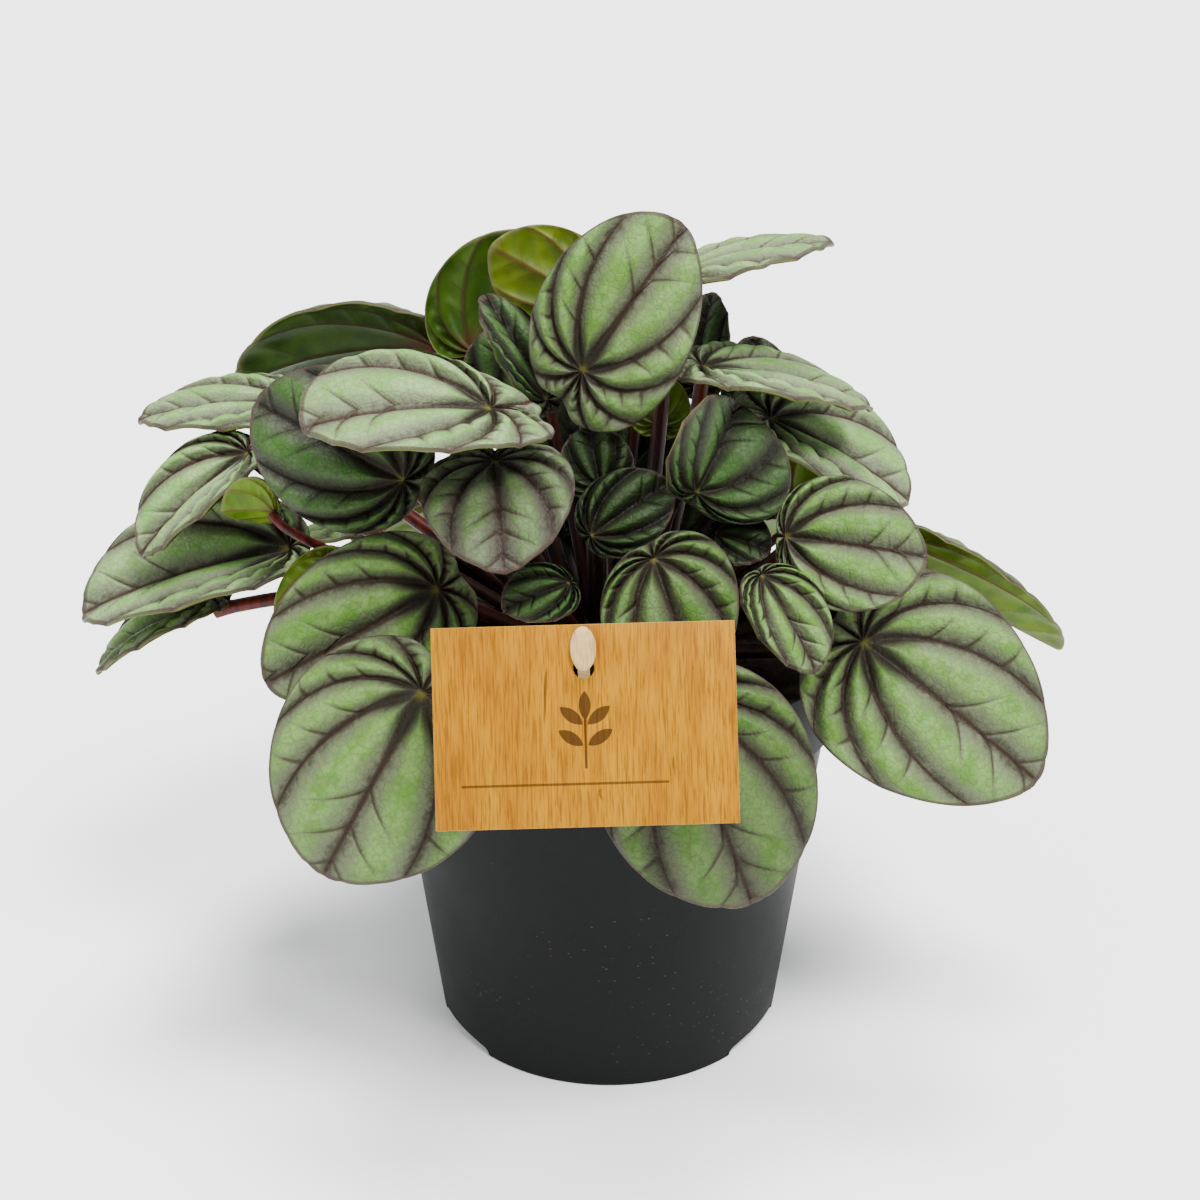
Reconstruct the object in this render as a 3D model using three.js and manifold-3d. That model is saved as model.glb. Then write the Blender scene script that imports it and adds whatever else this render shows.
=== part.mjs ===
// A potted peperomia: a tapered plastic nursery pot filled with potting soil, a short
// crown with one fleshy red stalk for each leaf, quilted heart-shaped blades that the
// stalks meet a little inside the margin, and a plain plant label on a bent wooden strip that
// stands in the soil and ends in an oval head in front of the label's hole.
// Millimetres, +Z up. The origin is the middle of the pot's underside, -Y is the front.

import * as THREE from "three";
import { mergeVertices } from "three/addons/utils/BufferGeometryUtils.js";
import Module from "manifold-3d";

// ---------------------------------------------------------------- driving dimensions

const POT = {
  height: 107.5,
  rimRadius: 60, // outside, at the lip
  rimFoot: 58.6, // outside, at the lower edge of the rim band
  rimBand: 20,
  neckRadius: 55.3, // outside of the wall just under the rim band
  baseRadius: 44.3,
  wall: 1.5,
  floorUnder: 2.6, // the floor stands this far off the ground
  floorTop: 4.4,
  bossRadius: 9, // flat middle of the floor that reaches the ground
  heelRound: 0.8, // rounding where the wall meets the ground
  sides: 44,
};
const NOTCH = { count: 3, firstDegrees: 90, arcDegrees: 32, height: 3.2 };
const DRAIN = { count: 6, radius: 3.2, circle: 28, sides: 8 };

const SOIL = { top: 98, crumb: 1.3, rings: [0.45, 0.72, 1], sides: 36 };
const CROWN = { radius: 15, buried: 14, rise: 9 };
const CLEARANCE = 0.3; // between pieces that touch

const STALK = { radius: 1.8, youngest: 0.6, sides: 6, steps: 5 };

const BLADE = {
  thickness: 0.9,
  grownLength: 40, // shorter blades have a shallower relief
  spokes: 20, // every second one is a vein, the others are the ridges between veins
  rings: [0.35, 0.7, 1],
  smallWidth: 20, // blades up to this width have the fewer rings of smallRings
  smallRings: [0.5, 1],
  relief: 2.2, // how far the ridges stand above the veins
  sunk: 0.6, // how far the veins lie below the smooth sheet
  marginRoll: 1.3, // how far the margin bends down
  point: 0.03, // length of the small point at the tip, as a share of the blade's length
  furrow: 0.22, // depth of the furrow in the heel, as a share of the heel
};
const VEINS_EACH_SIDE = 5; // from the midrib round to the furrow at the heel
const VEIN_SPREAD = 1.2; // above 1 the veins lie closer together at the heel than at the tip
const VEIN_BOW = 0.8; // radians by which a vein sets out wider than it ends

const LABEL = {
  width: 63,
  height: 42,
  thickness: 0.8,
  topMiddle: [-5.5, -84, 147],
  leanBack: 24.6, // degrees from upright, its lower edge towards the front
  turn: 1.6, // degrees in its own plane, the right side higher
  hole: { down: 9.1, radius: 2.2 }, // from the top edge
};
const STAKE = {
  width: 2.6,
  thickness: 1.4,
  throughHole: 8.4, // down from the label's top edge
  path: [
    [-42, 52],
    [-42, 92],
    [-48, 110],
    [-66, 128],
  ], // y and z of its line from the soil to behind the label
  head: { down: 5, halfWidth: 2.7, halfHeight: 4.65, thickness: 1.8 },
};

// ---------------------------------------------------------------- the leaves
// joint: where the stalk meets the blade. tip: the blade's point. face: the way its upper
// side looks. width: across the blade. fold: how far the two halves rise from the midrib,
// in radians. droop: how far the blade arches from heel to tip, in radians. heel: how far
// the blade reaches behind the joint, as a share of its length. skew: how far its right half
// reaches ahead of its left half. taper: how much wider it is at the heel than at the tip.
// lift: how far the stalk climbs before it turns. reach: how long its last stretch under the
// blade is. bend: a point that pulls its last stretch aside.

const LEAVES = [
  {
    name: "top_middle",
    joint: [-6, -18, 180], tip: [18, -8, 212], face: [0.1, -0.9, 0.42],
    width: 38, fold: 0.06, droop: 0.6, heel: 0.3, skew: -0.22,
  },
  {
    name: "top_right",
    joint: [11, 8, 193], tip: [53, 4, 205], face: [-0.1, 0.08, 0.98],
    width: 38, fold: 0.05, droop: 0.2, heel: 0.2,
  },
  {
    name: "behind_right",
    joint: [22, 21, 163], tip: [25.5, 27, 186], face: [-0.7, -0.6, 0.2],
    width: 20, fold: 0.1, droop: 0.3, heel: 0.2,
  },
  {
    name: "right_upper",
    joint: [22, -7, 176.8], tip: [63.5, -4, 166.7], face: [0.25, 0.06, 0.95],
    width: 38, fold: 0.12, droop: 0.3, heel: 0.2,
  },
  {
    name: "right_middle",
    joint: [39, 4, 160], tip: [74.2, -1, 141], face: [0.3, -0.25, 0.9],
    width: 41, fold: 0.3, droop: 0.3, heel: 0.3,
  },
  {
    name: "center_right",
    joint: [20, -25, 153], tip: [30, -14, 171.5], face: [0.5, -0.8, 0.2],
    width: 39, fold: 0.6, droop: 0.3, heel: 0.18,
  },
  {
    name: "right_front",
    joint: [40.5, -33, 145], tip: [73, -40, 143], face: [0.15, -0.85, 0.5],
    width: 31, fold: 0.08, droop: 0.5, heel: 0.1, skew: 0.12,
  },
  {
    name: "right_far",
    joint: [70, 8, 127.5], tip: [117, 12, 96], face: [0.5, 0.42, 0.76],
    width: 35, fold: 0.5, droop: -0.3, heel: 0.15,
  },
  {
    name: "right_low",
    joint: [59, -36, 119.8], tip: [100.5, -50, 90], face: [0.25, -0.9, 0.4],
    width: 51, fold: 0.06, droop: 0.4, heel: 0.22, taper: 0.2,
  },
  {
    name: "right_small",
    joint: [34, -46, 141], tip: [47, -58, 122], face: [0.45, -0.75, 0.45],
    width: 20, fold: 0.3, droop: 0.3, heel: 0.1,
  },
  {
    name: "right_inner",
    joint: [25, -22, 141], tip: [38, -28, 139], face: [0, -0.5, 0.85],
    width: 17, fold: 0.2, droop: 0.3, heel: 0.2,
  },
  {
    name: "center_front",
    joint: [10, -48, 146], tip: [20, -61, 119.5], face: [0, -0.92, 0.38],
    width: 32, fold: 0.06, droop: 0.5, heel: 0.17, skew: 0.15,
  },
  {
    name: "front_low",
    joint: [15, -72, 121], tip: [32.5, -80, 75], face: [0.1, -0.98, 0.15],
    width: 48.5, fold: 0.06, droop: 0.4, heel: 0.2,
  },
  {
    name: "inner_middle",
    joint: [-4, -30, 144], tip: [15, -22, 155], face: [0, -0.75, 0.65],
    width: 20, fold: 0.2, droop: 0.3, heel: 0.12,
  },
  {
    name: "inner_upper",
    joint: [-2, -20, 152], tip: [-5, -14, 166], face: [0, -0.9, 0.4],
    width: 18, fold: 0.15, droop: 0.2, heel: 0.2,
  },
  {
    name: "inner_under",
    joint: [12, 18, 154], tip: [14, 22, 166], face: [0.1, 0.9, -0.1],
    width: 16, fold: 0.1, droop: 0.3, heel: 0.35, reach: 10,
  },
  {
    name: "silver_middle",
    joint: [-25, -43, 167], tip: [-22, -72, 153], face: [-0.05, -0.6, 0.8],
    width: 34, fold: 0.04, droop: 0.5, heel: 0.3,
  },
  {
    name: "left_top",
    joint: [-26, -45, 180], tip: [-67, -52, 179], face: [-0.1, -0.28, 0.95],
    width: 37, fold: 0.2, droop: 0.4, heel: 0.36, skew: 0.25, taper: -0.25, bend: [-20, -22, 174],
  },
  {
    name: "left_dark",
    joint: [-46, -38, 161], tip: [-81, -26, 176], face: [-0.1, -0.9, 0.4],
    width: 36, fold: 0.08, droop: 0.5, heel: 0.15,
  },
  {
    name: "left_far",
    joint: [-75, 9, 162], tip: [-115, 5, 160.5], face: [-0.1, -0.08, 0.98],
    width: 31, fold: 0.12, droop: 0.3, heel: 0.2,
  },
  {
    name: "left_back",
    joint: [-43, 35, 168], tip: [-97, 43, 156], face: [-0.1, 0.65, 0.72],
    width: 42, fold: 0.2, droop: 0.6, heel: 0.2,
  },
  {
    name: "back_disc",
    joint: [-33, 22, 171], tip: [-18, 30, 200], face: [-0.1, 0.95, 0.1],
    width: 34, fold: 0.08, droop: 0.4, heel: 0.2,
  },
  {
    name: "back_middle",
    joint: [-5, 12, 187], tip: [-29, 16, 200], face: [0.2, 0.9, -0.2],
    width: 26, fold: 0.1, droop: 0.3, heel: 0.2,
  },
  {
    name: "inner_left",
    joint: [-25, 8, 162], tip: [-27, 12, 182], face: [-0.2, -0.9, 0.3],
    width: 20, fold: 0.2, droop: 0.3, heel: 0.2,
  },
  {
    name: "narrow_left",
    joint: [-15, -10, 170], tip: [-30, 0, 194], face: [0.5, -0.6, 0.6],
    width: 15, fold: 0.4, droop: 0.3, heel: 0.15,
  },
  {
    name: "left_middle",
    joint: [-85, -10, 156.5], tip: [-112, -20, 134.5], face: [-0.25, -0.35, 0.9],
    width: 26, fold: 0.5, droop: 0.3, heel: 0.12,
  },
  {
    name: "left_small",
    joint: [-77, -27, 149], tip: [-90, -26, 149], face: [0.1, 0.85, 0.5],
    width: 18, fold: 0.45, droop: 0.4, heel: 0.15, bend: [-73, -36, 143],
  },
  {
    name: "left_low",
    joint: [-77, -10, 132], tip: [-129.5, -12, 116], face: [-0.1, -0.4, 0.9],
    width: 38, fold: 0.5, droop: 0.4, heel: 0.12,
  },
  {
    name: "left_lowest",
    joint: [-97, -8, 117], tip: [-129, -5, 97], face: [-0.4, -0.1, 0.9],
    width: 24, fold: 0.4, droop: 0.3, heel: 0.15, lift: 24, bend: [-74, -12, 122],
  },
  {
    name: "front_left",
    joint: [-39, -42, 136], tip: [-78.5, -54, 117.5], face: [-0.1, -0.96, 0.25],
    width: 38, fold: 0.06, droop: 0.5, heel: 0.2,
  },
  {
    name: "front_left_low",
    joint: [-41, -66, 122], tip: [-64.5, -76, 80], face: [-0.1, -0.97, 0.2],
    width: 51, fold: 0.04, droop: 0.4, heel: 0.22,
  },
  {
    name: "small_front",
    joint: [-9, -48, 140], tip: [-24, -58, 138], face: [-0.1, -0.7, 0.7],
    width: 15, fold: 0.2, droop: 0.2, heel: 0.12,
  },
  {
    name: "left_under",
    joint: [-61, -31, 138], tip: [-77, -31, 118], face: [0.3, 0.8, 0.4],
    width: 18, fold: 0.1, droop: 0.3, heel: 0.15,
  },
  {
    name: "shade_left",
    joint: [-12, 23, 127], tip: [-9, 40, 159], face: [0.15, -0.9, 0.3],
    width: 35, fold: 0.1, droop: 0.4, heel: 0.2,
  },
  {
    name: "shade_middle",
    joint: [17, 27, 118], tip: [28, 41, 144], face: [-0.15, -0.9, 0.45],
    width: 35, fold: 0.1, droop: 0.4, heel: 0.2,
  },
  {
    name: "shade_right",
    joint: [39, 14, 153], tip: [35, 30, 174], face: [0.05, -0.9, 0.35],
    width: 20, fold: 0.1, droop: 0.3, heel: 0.2,
  },
  {
    name: "shade_back",
    joint: [6, 47, 119], tip: [10, 51, 148], face: [0.05, -0.9, 0.15],
    width: 30, fold: 0.1, droop: 0.4, heel: 0.2,
  },
  {
    name: "right_between",
    joint: [47, 6, 134], tip: [57, 9, 151], face: [0.05, 0.9, -0.2],
    width: 26, fold: 0.1, droop: 0.3, heel: 0.2,
  },
  {
    name: "rear_low_left",
    joint: [-35, 50, 122], tip: [-62, 78, 90], face: [-0.4, 0.6, 0.7],
    width: 44, fold: 0.08, droop: 0.5, heel: 0.2,
  },
  {
    name: "rear_low_middle",
    joint: [2, 60, 122], tip: [6, 96, 90], face: [0, 0.6, 0.8],
    width: 46, fold: 0.08, droop: 0.5, heel: 0.2,
  },
  {
    name: "rear_low_right",
    joint: [38, 48, 118], tip: [66, 76, 88], face: [0.4, 0.6, 0.7],
    width: 44, fold: 0.08, droop: 0.5, heel: 0.2,
  },
  {
    name: "rear_side_left",
    joint: [-66, 28, 122], tip: [-102, 44, 98], face: [-0.5, 0.3, 0.8],
    width: 38, fold: 0.1, droop: 0.5, heel: 0.2,
  },
  {
    name: "rear_side_right",
    joint: [58, 28, 116], tip: [90, 46, 84], face: [0.5, 0.3, 0.8],
    width: 38, fold: 0.1, droop: 0.5, heel: 0.2,
  },
  {
    name: "rear_middle_left",
    joint: [-36, 48, 150], tip: [-60, 76, 136], face: [-0.2, 0.4, 0.9],
    width: 40, fold: 0.1, droop: 0.5, heel: 0.2,
  },
  {
    name: "rear_middle",
    joint: [-2, 50, 156], tip: [2, 86, 142], face: [0, 0.4, 0.9],
    width: 42, fold: 0.1, droop: 0.5, heel: 0.2,
  },
  {
    name: "rear_middle_right",
    joint: [34, 28, 150], tip: [64, 46, 136], face: [0.3, 0.4, 0.85],
    width: 40, fold: 0.1, droop: 0.5, heel: 0.2,
  },
  {
    name: "rear_upper_left",
    joint: [-18, 38, 178], tip: [-34, 64, 168], face: [-0.1, 0.4, 0.9],
    width: 36, fold: 0.1, droop: 0.4, heel: 0.2,
  },
  {
    name: "rear_upper_right",
    joint: [8, 38, 170], tip: [18, 66, 158], face: [0.1, 0.4, 0.9],
    width: 34, fold: 0.1, droop: 0.4, heel: 0.2,
  },
];

// ---------------------------------------------------------------- solids and materials

const wasm = await Module();
wasm.setup();

/** A closed three.js geometry as a manifold solid. */
function solidOf(geometry) {
  const bare = geometry.index ? geometry.clone() : geometry;
  for (const name of Object.keys(bare.attributes)) {
    if (name !== "position") bare.deleteAttribute(name);
  }
  const merged = mergeVertices(bare, 1e-4);
  return new wasm.Manifold(
    new wasm.Mesh({
      numProp: 3,
      vertProperties: merged.attributes.position.array,
      triVerts: new Uint32Array(merged.index.array),
    }),
  );
}

/** A manifold solid as a three.js geometry. */
function geometryOf(solid) {
  const mesh = solid.getMesh();
  const geometry = new THREE.BufferGeometry();
  geometry.setAttribute("position", new THREE.BufferAttribute(mesh.vertProperties, 3));
  geometry.setIndex(new THREE.BufferAttribute(mesh.triVerts, 1));
  geometry.computeVertexNormals();
  return geometry;
}

/** A finish: colour, roughness and no metal. */
function finish(color, roughness) {
  return new THREE.MeshStandardMaterial({ color, roughness, metalness: 0 });
}

const potPlastic = finish(0x3a3c3b, 0.55);
const pottingSoil = finish(0x2a1c14, 1);
const stalkRed = finish(0x7a2418, 0.45);
const bladeGreen = finish(0x86a878, 0.5);
const labelCard = finish(0xd99a2b, 0.6);
const stakeWood = finish(0xd8c39a, 0.6);

const plant = new THREE.Group();

/** Adds one named piece to the plant. */
function addPiece(name, geometry, material) {
  const mesh = new THREE.Mesh(geometry, material);
  mesh.name = name;
  plant.add(mesh);
}

/** A solid of revolution about Z from [radius, height] pairs. */
function turned(profile, sides) {
  const points = profile.map(([radius, z]) => new THREE.Vector2(radius, z));
  return new THREE.LatheGeometry(points, sides).rotateX(Math.PI / 2);
}

// ---------------------------------------------------------------- pot

/** The pot's inside radius at a height, for the pot and for the soil that fills it. */
function insideRadius(z) {
  const neck = POT.height - POT.rimBand;
  const slope = (POT.neckRadius - POT.baseRadius) / neck;
  if (z < neck) return POT.baseRadius + slope * z - POT.wall;
  const rimSlope = (POT.rimRadius - POT.rimFoot) / POT.rimBand;
  return POT.rimFoot + rimSlope * (z - neck) - POT.wall;
}

function potGeometry() {
  const neck = POT.height - POT.rimBand;
  const outside = [];
  const heelCentre = { r: POT.baseRadius - POT.heelRound, z: POT.heelRound };
  for (const step of [0, 1, 2, 3]) {
    const turn = (step / 3) * (Math.PI / 2);
    outside.push([
      heelCentre.r + POT.heelRound * Math.sin(turn),
      heelCentre.z - POT.heelRound * Math.cos(turn),
    ]);
  }
  const stepInside = neck + 2 * POT.wall;
  const profile = [
    [0, 0],
    [POT.bossRadius, 0],
    [POT.bossRadius + 1.5, POT.floorUnder],
    [heelCentre.r - 3, POT.floorUnder],
    [heelCentre.r - 1.6, 0],
    ...outside,
    [POT.neckRadius, neck],
    [POT.rimFoot, neck],
    [POT.rimRadius, POT.height - 0.6],
    [POT.rimRadius - 0.6, POT.height],
    [insideRadius(POT.height), POT.height],
    [insideRadius(stepInside), stepInside],
    [insideRadius(neck - 0.01), neck - 0.01],
    [insideRadius(POT.floorTop), POT.floorTop],
    [0, POT.floorTop],
  ];
  let pot = solidOf(turned(profile, POT.sides));

  const notchAngle = THREE.MathUtils.degToRad(NOTCH.arcDegrees);
  for (let i = 0; i < NOTCH.count; i += 1) {
    const middle = THREE.MathUtils.degToRad(NOTCH.firstDegrees + (i * 360) / NOTCH.count);
    pot = pot.subtract(solidOf(notchCutter(middle, notchAngle)));
  }
  for (let i = 0; i < DRAIN.count; i += 1) {
    const angle = (i / DRAIN.count) * 2 * Math.PI;
    const drill = new THREE.CylinderGeometry(DRAIN.radius, DRAIN.radius, 12, DRAIN.sides)
      .rotateX(Math.PI / 2)
      .translate(DRAIN.circle * Math.cos(angle), DRAIN.circle * Math.sin(angle), 3);
    pot = pot.subtract(solidOf(drill));
  }
  return geometryOf(pot);
}

/** A low arch through the foot ring, from inside it to well outside the wall. */
function notchCutter(middle, arc) {
  const innerRadius = POT.baseRadius - 8;
  const halfWidth = POT.baseRadius * Math.sin(arc / 2);
  const shape = new THREE.Shape();
  shape.moveTo(-halfWidth, -1);
  shape.lineTo(-halfWidth, 0);
  shape.quadraticCurveTo(-halfWidth * 0.9, NOTCH.height, -halfWidth * 0.7, NOTCH.height);
  shape.lineTo(halfWidth * 0.7, NOTCH.height);
  shape.quadraticCurveTo(halfWidth * 0.9, NOTCH.height, halfWidth, 0);
  shape.lineTo(halfWidth, -1);
  const depth = POT.baseRadius + 6 - innerRadius;
  return new THREE.ExtrudeGeometry(shape, { depth, bevelEnabled: false, curveSegments: 3 })
    .rotateX(Math.PI / 2)
    .rotateZ(Math.PI)
    .translate(0, innerRadius, 0)
    .rotateZ(middle - Math.PI / 2);
}

// ---------------------------------------------------------------- soil and crown

function soilGeometry() {
  const floor = POT.floorTop + CLEARANCE;
  const topRadius = insideRadius(SOIL.top) - CLEARANCE;
  const neck = POT.height - POT.rimBand;
  const stepInside = neck + 2 * POT.wall;
  const profile = [
    [0, floor],
    [insideRadius(floor) - CLEARANCE, floor],
    [insideRadius(neck - 0.01) - CLEARANCE, neck + CLEARANCE],
    [insideRadius(stepInside) - CLEARANCE, stepInside + 3 * CLEARANCE],
    ...SOIL.rings.toReversed().map((share) => [topRadius * share, SOIL.top]),
    [0, SOIL.top],
  ];
  const body = turned(profile, SOIL.sides);
  const position = body.attributes.position;
  for (let i = 0; i < position.count; i += 1) {
    if (position.getZ(i) < SOIL.top - 0.1) continue;
    const [x, y] = [position.getX(i), position.getY(i)];
    position.setZ(i, SOIL.top + SOIL.crumb * crumbs(x, y));
  }
  const hole = new THREE.CylinderGeometry(
    CROWN.radius + CLEARANCE,
    CROWN.radius + CLEARANCE,
    2 * CROWN.buried,
    20,
  )
    .rotateX(Math.PI / 2)
    .translate(0, 0, SOIL.top);
  const [footY, footZ] = STAKE.path[0];
  const slot = new THREE.BoxGeometry(
    STAKE.width + 2 * CLEARANCE,
    STAKE.thickness + 2 * CLEARANCE + 3.4,
    2 * (SOIL.top - footZ + CLEARANCE),
  ).translate(LABEL.topMiddle[0], footY - 0.4, SOIL.top);
  return geometryOf(solidOf(body).subtract(solidOf(hole)).subtract(solidOf(slot)));
}

/** The soil's lumps, from -1 to 1. */
function crumbs(x, y) {
  const coarse = Math.sin(0.31 * x + 1.3) * Math.cos(0.27 * y);
  const slanted = Math.sin(0.15 * x - 0.41 * y);
  return 0.5 * (coarse + slanted);
}

/** The short stem that every stalk grows from, its foot in the soil. */
function crownKnob() {
  const foot = SOIL.top - CROWN.buried + CLEARANCE;
  const top = SOIL.top + CROWN.rise;
  return turned(
    [
      [0, foot],
      [CROWN.radius, foot],
      [CROWN.radius, SOIL.top],
      [CROWN.radius * 0.8, top - 3],
      [CROWN.radius * 0.4, top],
      [0, top],
    ],
    16,
  );
}

// ---------------------------------------------------------------- blades

/** The frame and the bending of one leaf's blade. */
function poseOf(leaf) {
  const joint = new THREE.Vector3(...leaf.joint);
  const along = new THREE.Vector3(...leaf.tip).sub(joint);
  const chord = along.length();
  along.normalize();
  const up = new THREE.Vector3(...leaf.face);
  up.addScaledVector(along, -up.dot(along)).normalize();
  const across = new THREE.Vector3().crossVectors(along, up);
  const half = leaf.droop / 2;
  const length = (chord * half) / Math.sin(half);
  return {
    joint,
    along,
    up,
    across,
    length,
    width: leaf.width,
    curvature: leaf.droop / length,
    pitch: half,
    fold: leaf.fold,
    heel: leaf.heel,
    skew: leaf.skew ?? 0,
    taper: leaf.taper ?? 0.1,
  };
}

/** A point of the blade's outline in its own plane. The turn is 0 at the tip, PI or -PI at the heel. */
function outlinePoint(pose, turn) {
  const { heel } = pose;
  const fromHeel = Math.PI - Math.abs(turn);
  const half = (1 + heel - BLADE.point) / 2;
  const middle = half - heel;
  const point = BLADE.point * Math.exp(-((turn / 0.3) ** 2));
  const furrow = BLADE.furrow * heel * Math.exp(-((fromHeel / 0.2) ** 2));
  const x = (pose.width / 2) * Math.sin(turn) * (1 - pose.taper * Math.cos(turn));
  const y = pose.length * (middle + half * Math.cos(turn) + point + furrow);
  return { x, y: y + pose.skew * x };
}

/** A point of the blade's middle sheet, before its relief, in the blade's own frame. */
function sheetPoint(pose, x, y) {
  const tilt = pose.fold * (Math.abs(x) / (Math.abs(x) + 3));
  const rise = Math.abs(x) * Math.sin(tilt);
  const turn = pose.curvature * y;
  const radius = 1 / pose.curvature;
  const forward = (radius + rise) * Math.sin(turn);
  const height = (radius + rise) * Math.cos(turn) - radius;
  const [c, s] = [Math.cos(pose.pitch), Math.sin(pose.pitch)];
  return new THREE.Vector3(x * Math.cos(tilt), forward * c - height * s, forward * s + height * c);
}

/** The way the middle sheet faces at a point. */
function sheetNormal(pose, x, y) {
  const step = 0.05;
  const alongX = sheetPoint(pose, x + step, y).sub(sheetPoint(pose, x - step, y));
  const alongY = sheetPoint(pose, x, y + step).sub(sheetPoint(pose, x, y - step));
  return alongX.cross(alongY).normalize();
}

/** From the blade's own frame to the plant's. */
function placed(pose, local) {
  return new THREE.Vector3()
    .addScaledVector(pose.across, local.x)
    .addScaledVector(pose.along, local.y)
    .addScaledVector(pose.up, local.z);
}

/**
 * A point of the blade. The vein runs from -5 to 5 round the joint and is whole on a main vein,
 * the ring runs from 0 at the joint to 1 at the margin, and the offset is along the sheet's normal.
 */
function bladePoint(pose, vein, ring, offset) {
  const share = 1 - (1 - Math.abs(vein) / VEINS_EACH_SIDE) ** VEIN_SPREAD;
  const turn = Math.sign(vein) * Math.PI * share;
  const margin = outlinePoint(pose, turn);
  const angle = Math.atan2(margin.x, margin.y) + VEIN_BOW * Math.sin(turn) * (1 - ring);
  const radius = ring * Math.hypot(margin.x, margin.y);
  const [x, y] = [radius * Math.sin(angle), radius * Math.cos(angle)];
  const pillow = Math.abs(Math.sin(Math.PI * vein)) ** 0.8;
  const swell = Math.min(1, ring / 0.45) * (1 - 0.6 * ring ** 4);
  const growth = Math.min(1, pose.length / BLADE.grownLength);
  const rounded = (BLADE.relief * pillow - BLADE.sunk) * swell;
  const relief = growth * (rounded - BLADE.marginRoll * ring ** 5);
  const local = sheetPoint(pose, x, y).addScaledVector(sheetNormal(pose, x, y), relief + offset);
  return placed(pose, local).add(pose.joint);
}

/** One blade as a closed body: an upper and a lower face split alike, and the margin between them. */
function bladeGeometry(pose) {
  const { spokes, thickness } = BLADE;
  const rings = pose.width > BLADE.smallWidth ? BLADE.rings : BLADE.smallRings;
  const positions = [];
  const faces = [];
  for (const side of [0.5, -0.5]) {
    positions.push(...bladePoint(pose, 0, 0, side * thickness).toArray());
    for (const ring of rings) {
      for (let spoke = 0; spoke < spokes; spoke += 1) {
        const vein = (spoke / spokes) * 2 * VEINS_EACH_SIDE - VEINS_EACH_SIDE;
        positions.push(...bladePoint(pose, vein, ring, side * thickness).toArray());
      }
    }
  }
  const perFace = 1 + spokes * rings.length;
  const at = (ring, spoke) => 1 + ring * spokes + (spoke % spokes);
  const addFace = (a, b, c) => {
    faces.push(a, b, c);
    faces.push(perFace + a, perFace + c, perFace + b);
  };
  for (let spoke = 0; spoke < spokes; spoke += 1) {
    addFace(0, at(0, spoke + 1), at(0, spoke));
    for (let ring = 0; ring + 1 < rings.length; ring += 1) {
      addFace(at(ring, spoke), at(ring, spoke + 1), at(ring + 1, spoke + 1));
      addFace(at(ring, spoke), at(ring + 1, spoke + 1), at(ring + 1, spoke));
    }
    const [a, b] = [at(rings.length - 1, spoke), at(rings.length - 1, spoke + 1)];
    faces.push(a, b, perFace + b, a, perFace + b, perFace + a);
  }
  const geometry = new THREE.BufferGeometry();
  geometry.setAttribute("position", new THREE.Float32BufferAttribute(positions, 3));
  geometry.setIndex(faces);
  geometry.computeVertexNormals();
  return geometry;
}

// ---------------------------------------------------------------- stalks

/** The line of one stalk, from inside the crown to just under the blade. */
function stalkPath(leaf, pose) {
  const under = placed(pose, sheetNormal(pose, 0, 0)).negate();
  const bend = leaf.bend ? new THREE.Vector3(...leaf.bend) : null;
  const approach = bend ? pose.joint.clone().sub(bend).normalize() : under.clone().negate();
  const slant = stalkRadius(pose) * Math.sin(approach.angleTo(under.clone().negate()));
  const below = BLADE.thickness / 2 + 1.4 * CLEARANCE + slant;
  const end = pose.joint.clone().addScaledVector(under, below);
  const heading = Math.atan2(end.y, end.x);
  const start = new THREE.Vector3(Math.cos(heading), Math.sin(heading), 0)
    .multiplyScalar(CROWN.radius * 0.55)
    .setZ(SOIL.top + 2);
  const lift = leaf.lift ?? 0.45 * (end.z - SOIL.top);
  const rising = start.clone().add(new THREE.Vector3(0.35 * end.x, 0.35 * end.y, lift));
  const underBlade = bend ?? end.clone().addScaledVector(under, leaf.reach ?? 14);
  return new THREE.CubicBezierCurve3(start, rising, underBlade, end);
}

/** Small blades stand on thinner stalks. */
function stalkRadius(pose) {
  return STALK.radius * Math.max(STALK.youngest, Math.min(1, pose.length / BLADE.grownLength));
}

function stalkGeometry(path, radius) {
  const ring = [];
  for (let i = 0; i < STALK.sides; i += 1) {
    const angle = (i / STALK.sides) * 2 * Math.PI;
    ring.push(new THREE.Vector2(radius * Math.cos(angle), radius * Math.sin(angle)));
  }
  return new THREE.ExtrudeGeometry(new THREE.Shape(ring), {
    extrudePath: path,
    steps: STALK.steps,
    bevelEnabled: false,
  });
}

/** The crown and every stalk, fused. */
function crownGeometry(posedLeaves) {
  const stalks = posedLeaves.map(({ leaf, pose }) =>
    solidOf(stalkGeometry(stalkPath(leaf, pose), stalkRadius(pose))),
  );
  return geometryOf(wasm.Manifold.union([solidOf(crownKnob()), ...stalks]));
}

// ---------------------------------------------------------------- label and stake

/** Turns a geometry drawn in the label's plane, its top edge's middle at the origin, into place. */
function onLabel(geometry) {
  return geometry
    .rotateZ(THREE.MathUtils.degToRad(LABEL.turn))
    .rotateX(Math.PI / 2 - THREE.MathUtils.degToRad(LABEL.leanBack))
    .translate(...LABEL.topMiddle);
}

function labelGeometry() {
  const { width, height, thickness, hole } = LABEL;
  const card = new THREE.Shape();
  card.moveTo(-width / 2, -height);
  card.lineTo(width / 2, -height);
  card.lineTo(width / 2, 0);
  card.lineTo(-width / 2, 0);
  card.closePath();
  card.holes.push(new THREE.Path().absarc(0, -hole.down, hole.radius, 0, 2 * Math.PI));
  const options = { depth: thickness, bevelEnabled: false, curveSegments: 12 };
  return onLabel(new THREE.ExtrudeGeometry(card, options));
}

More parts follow.
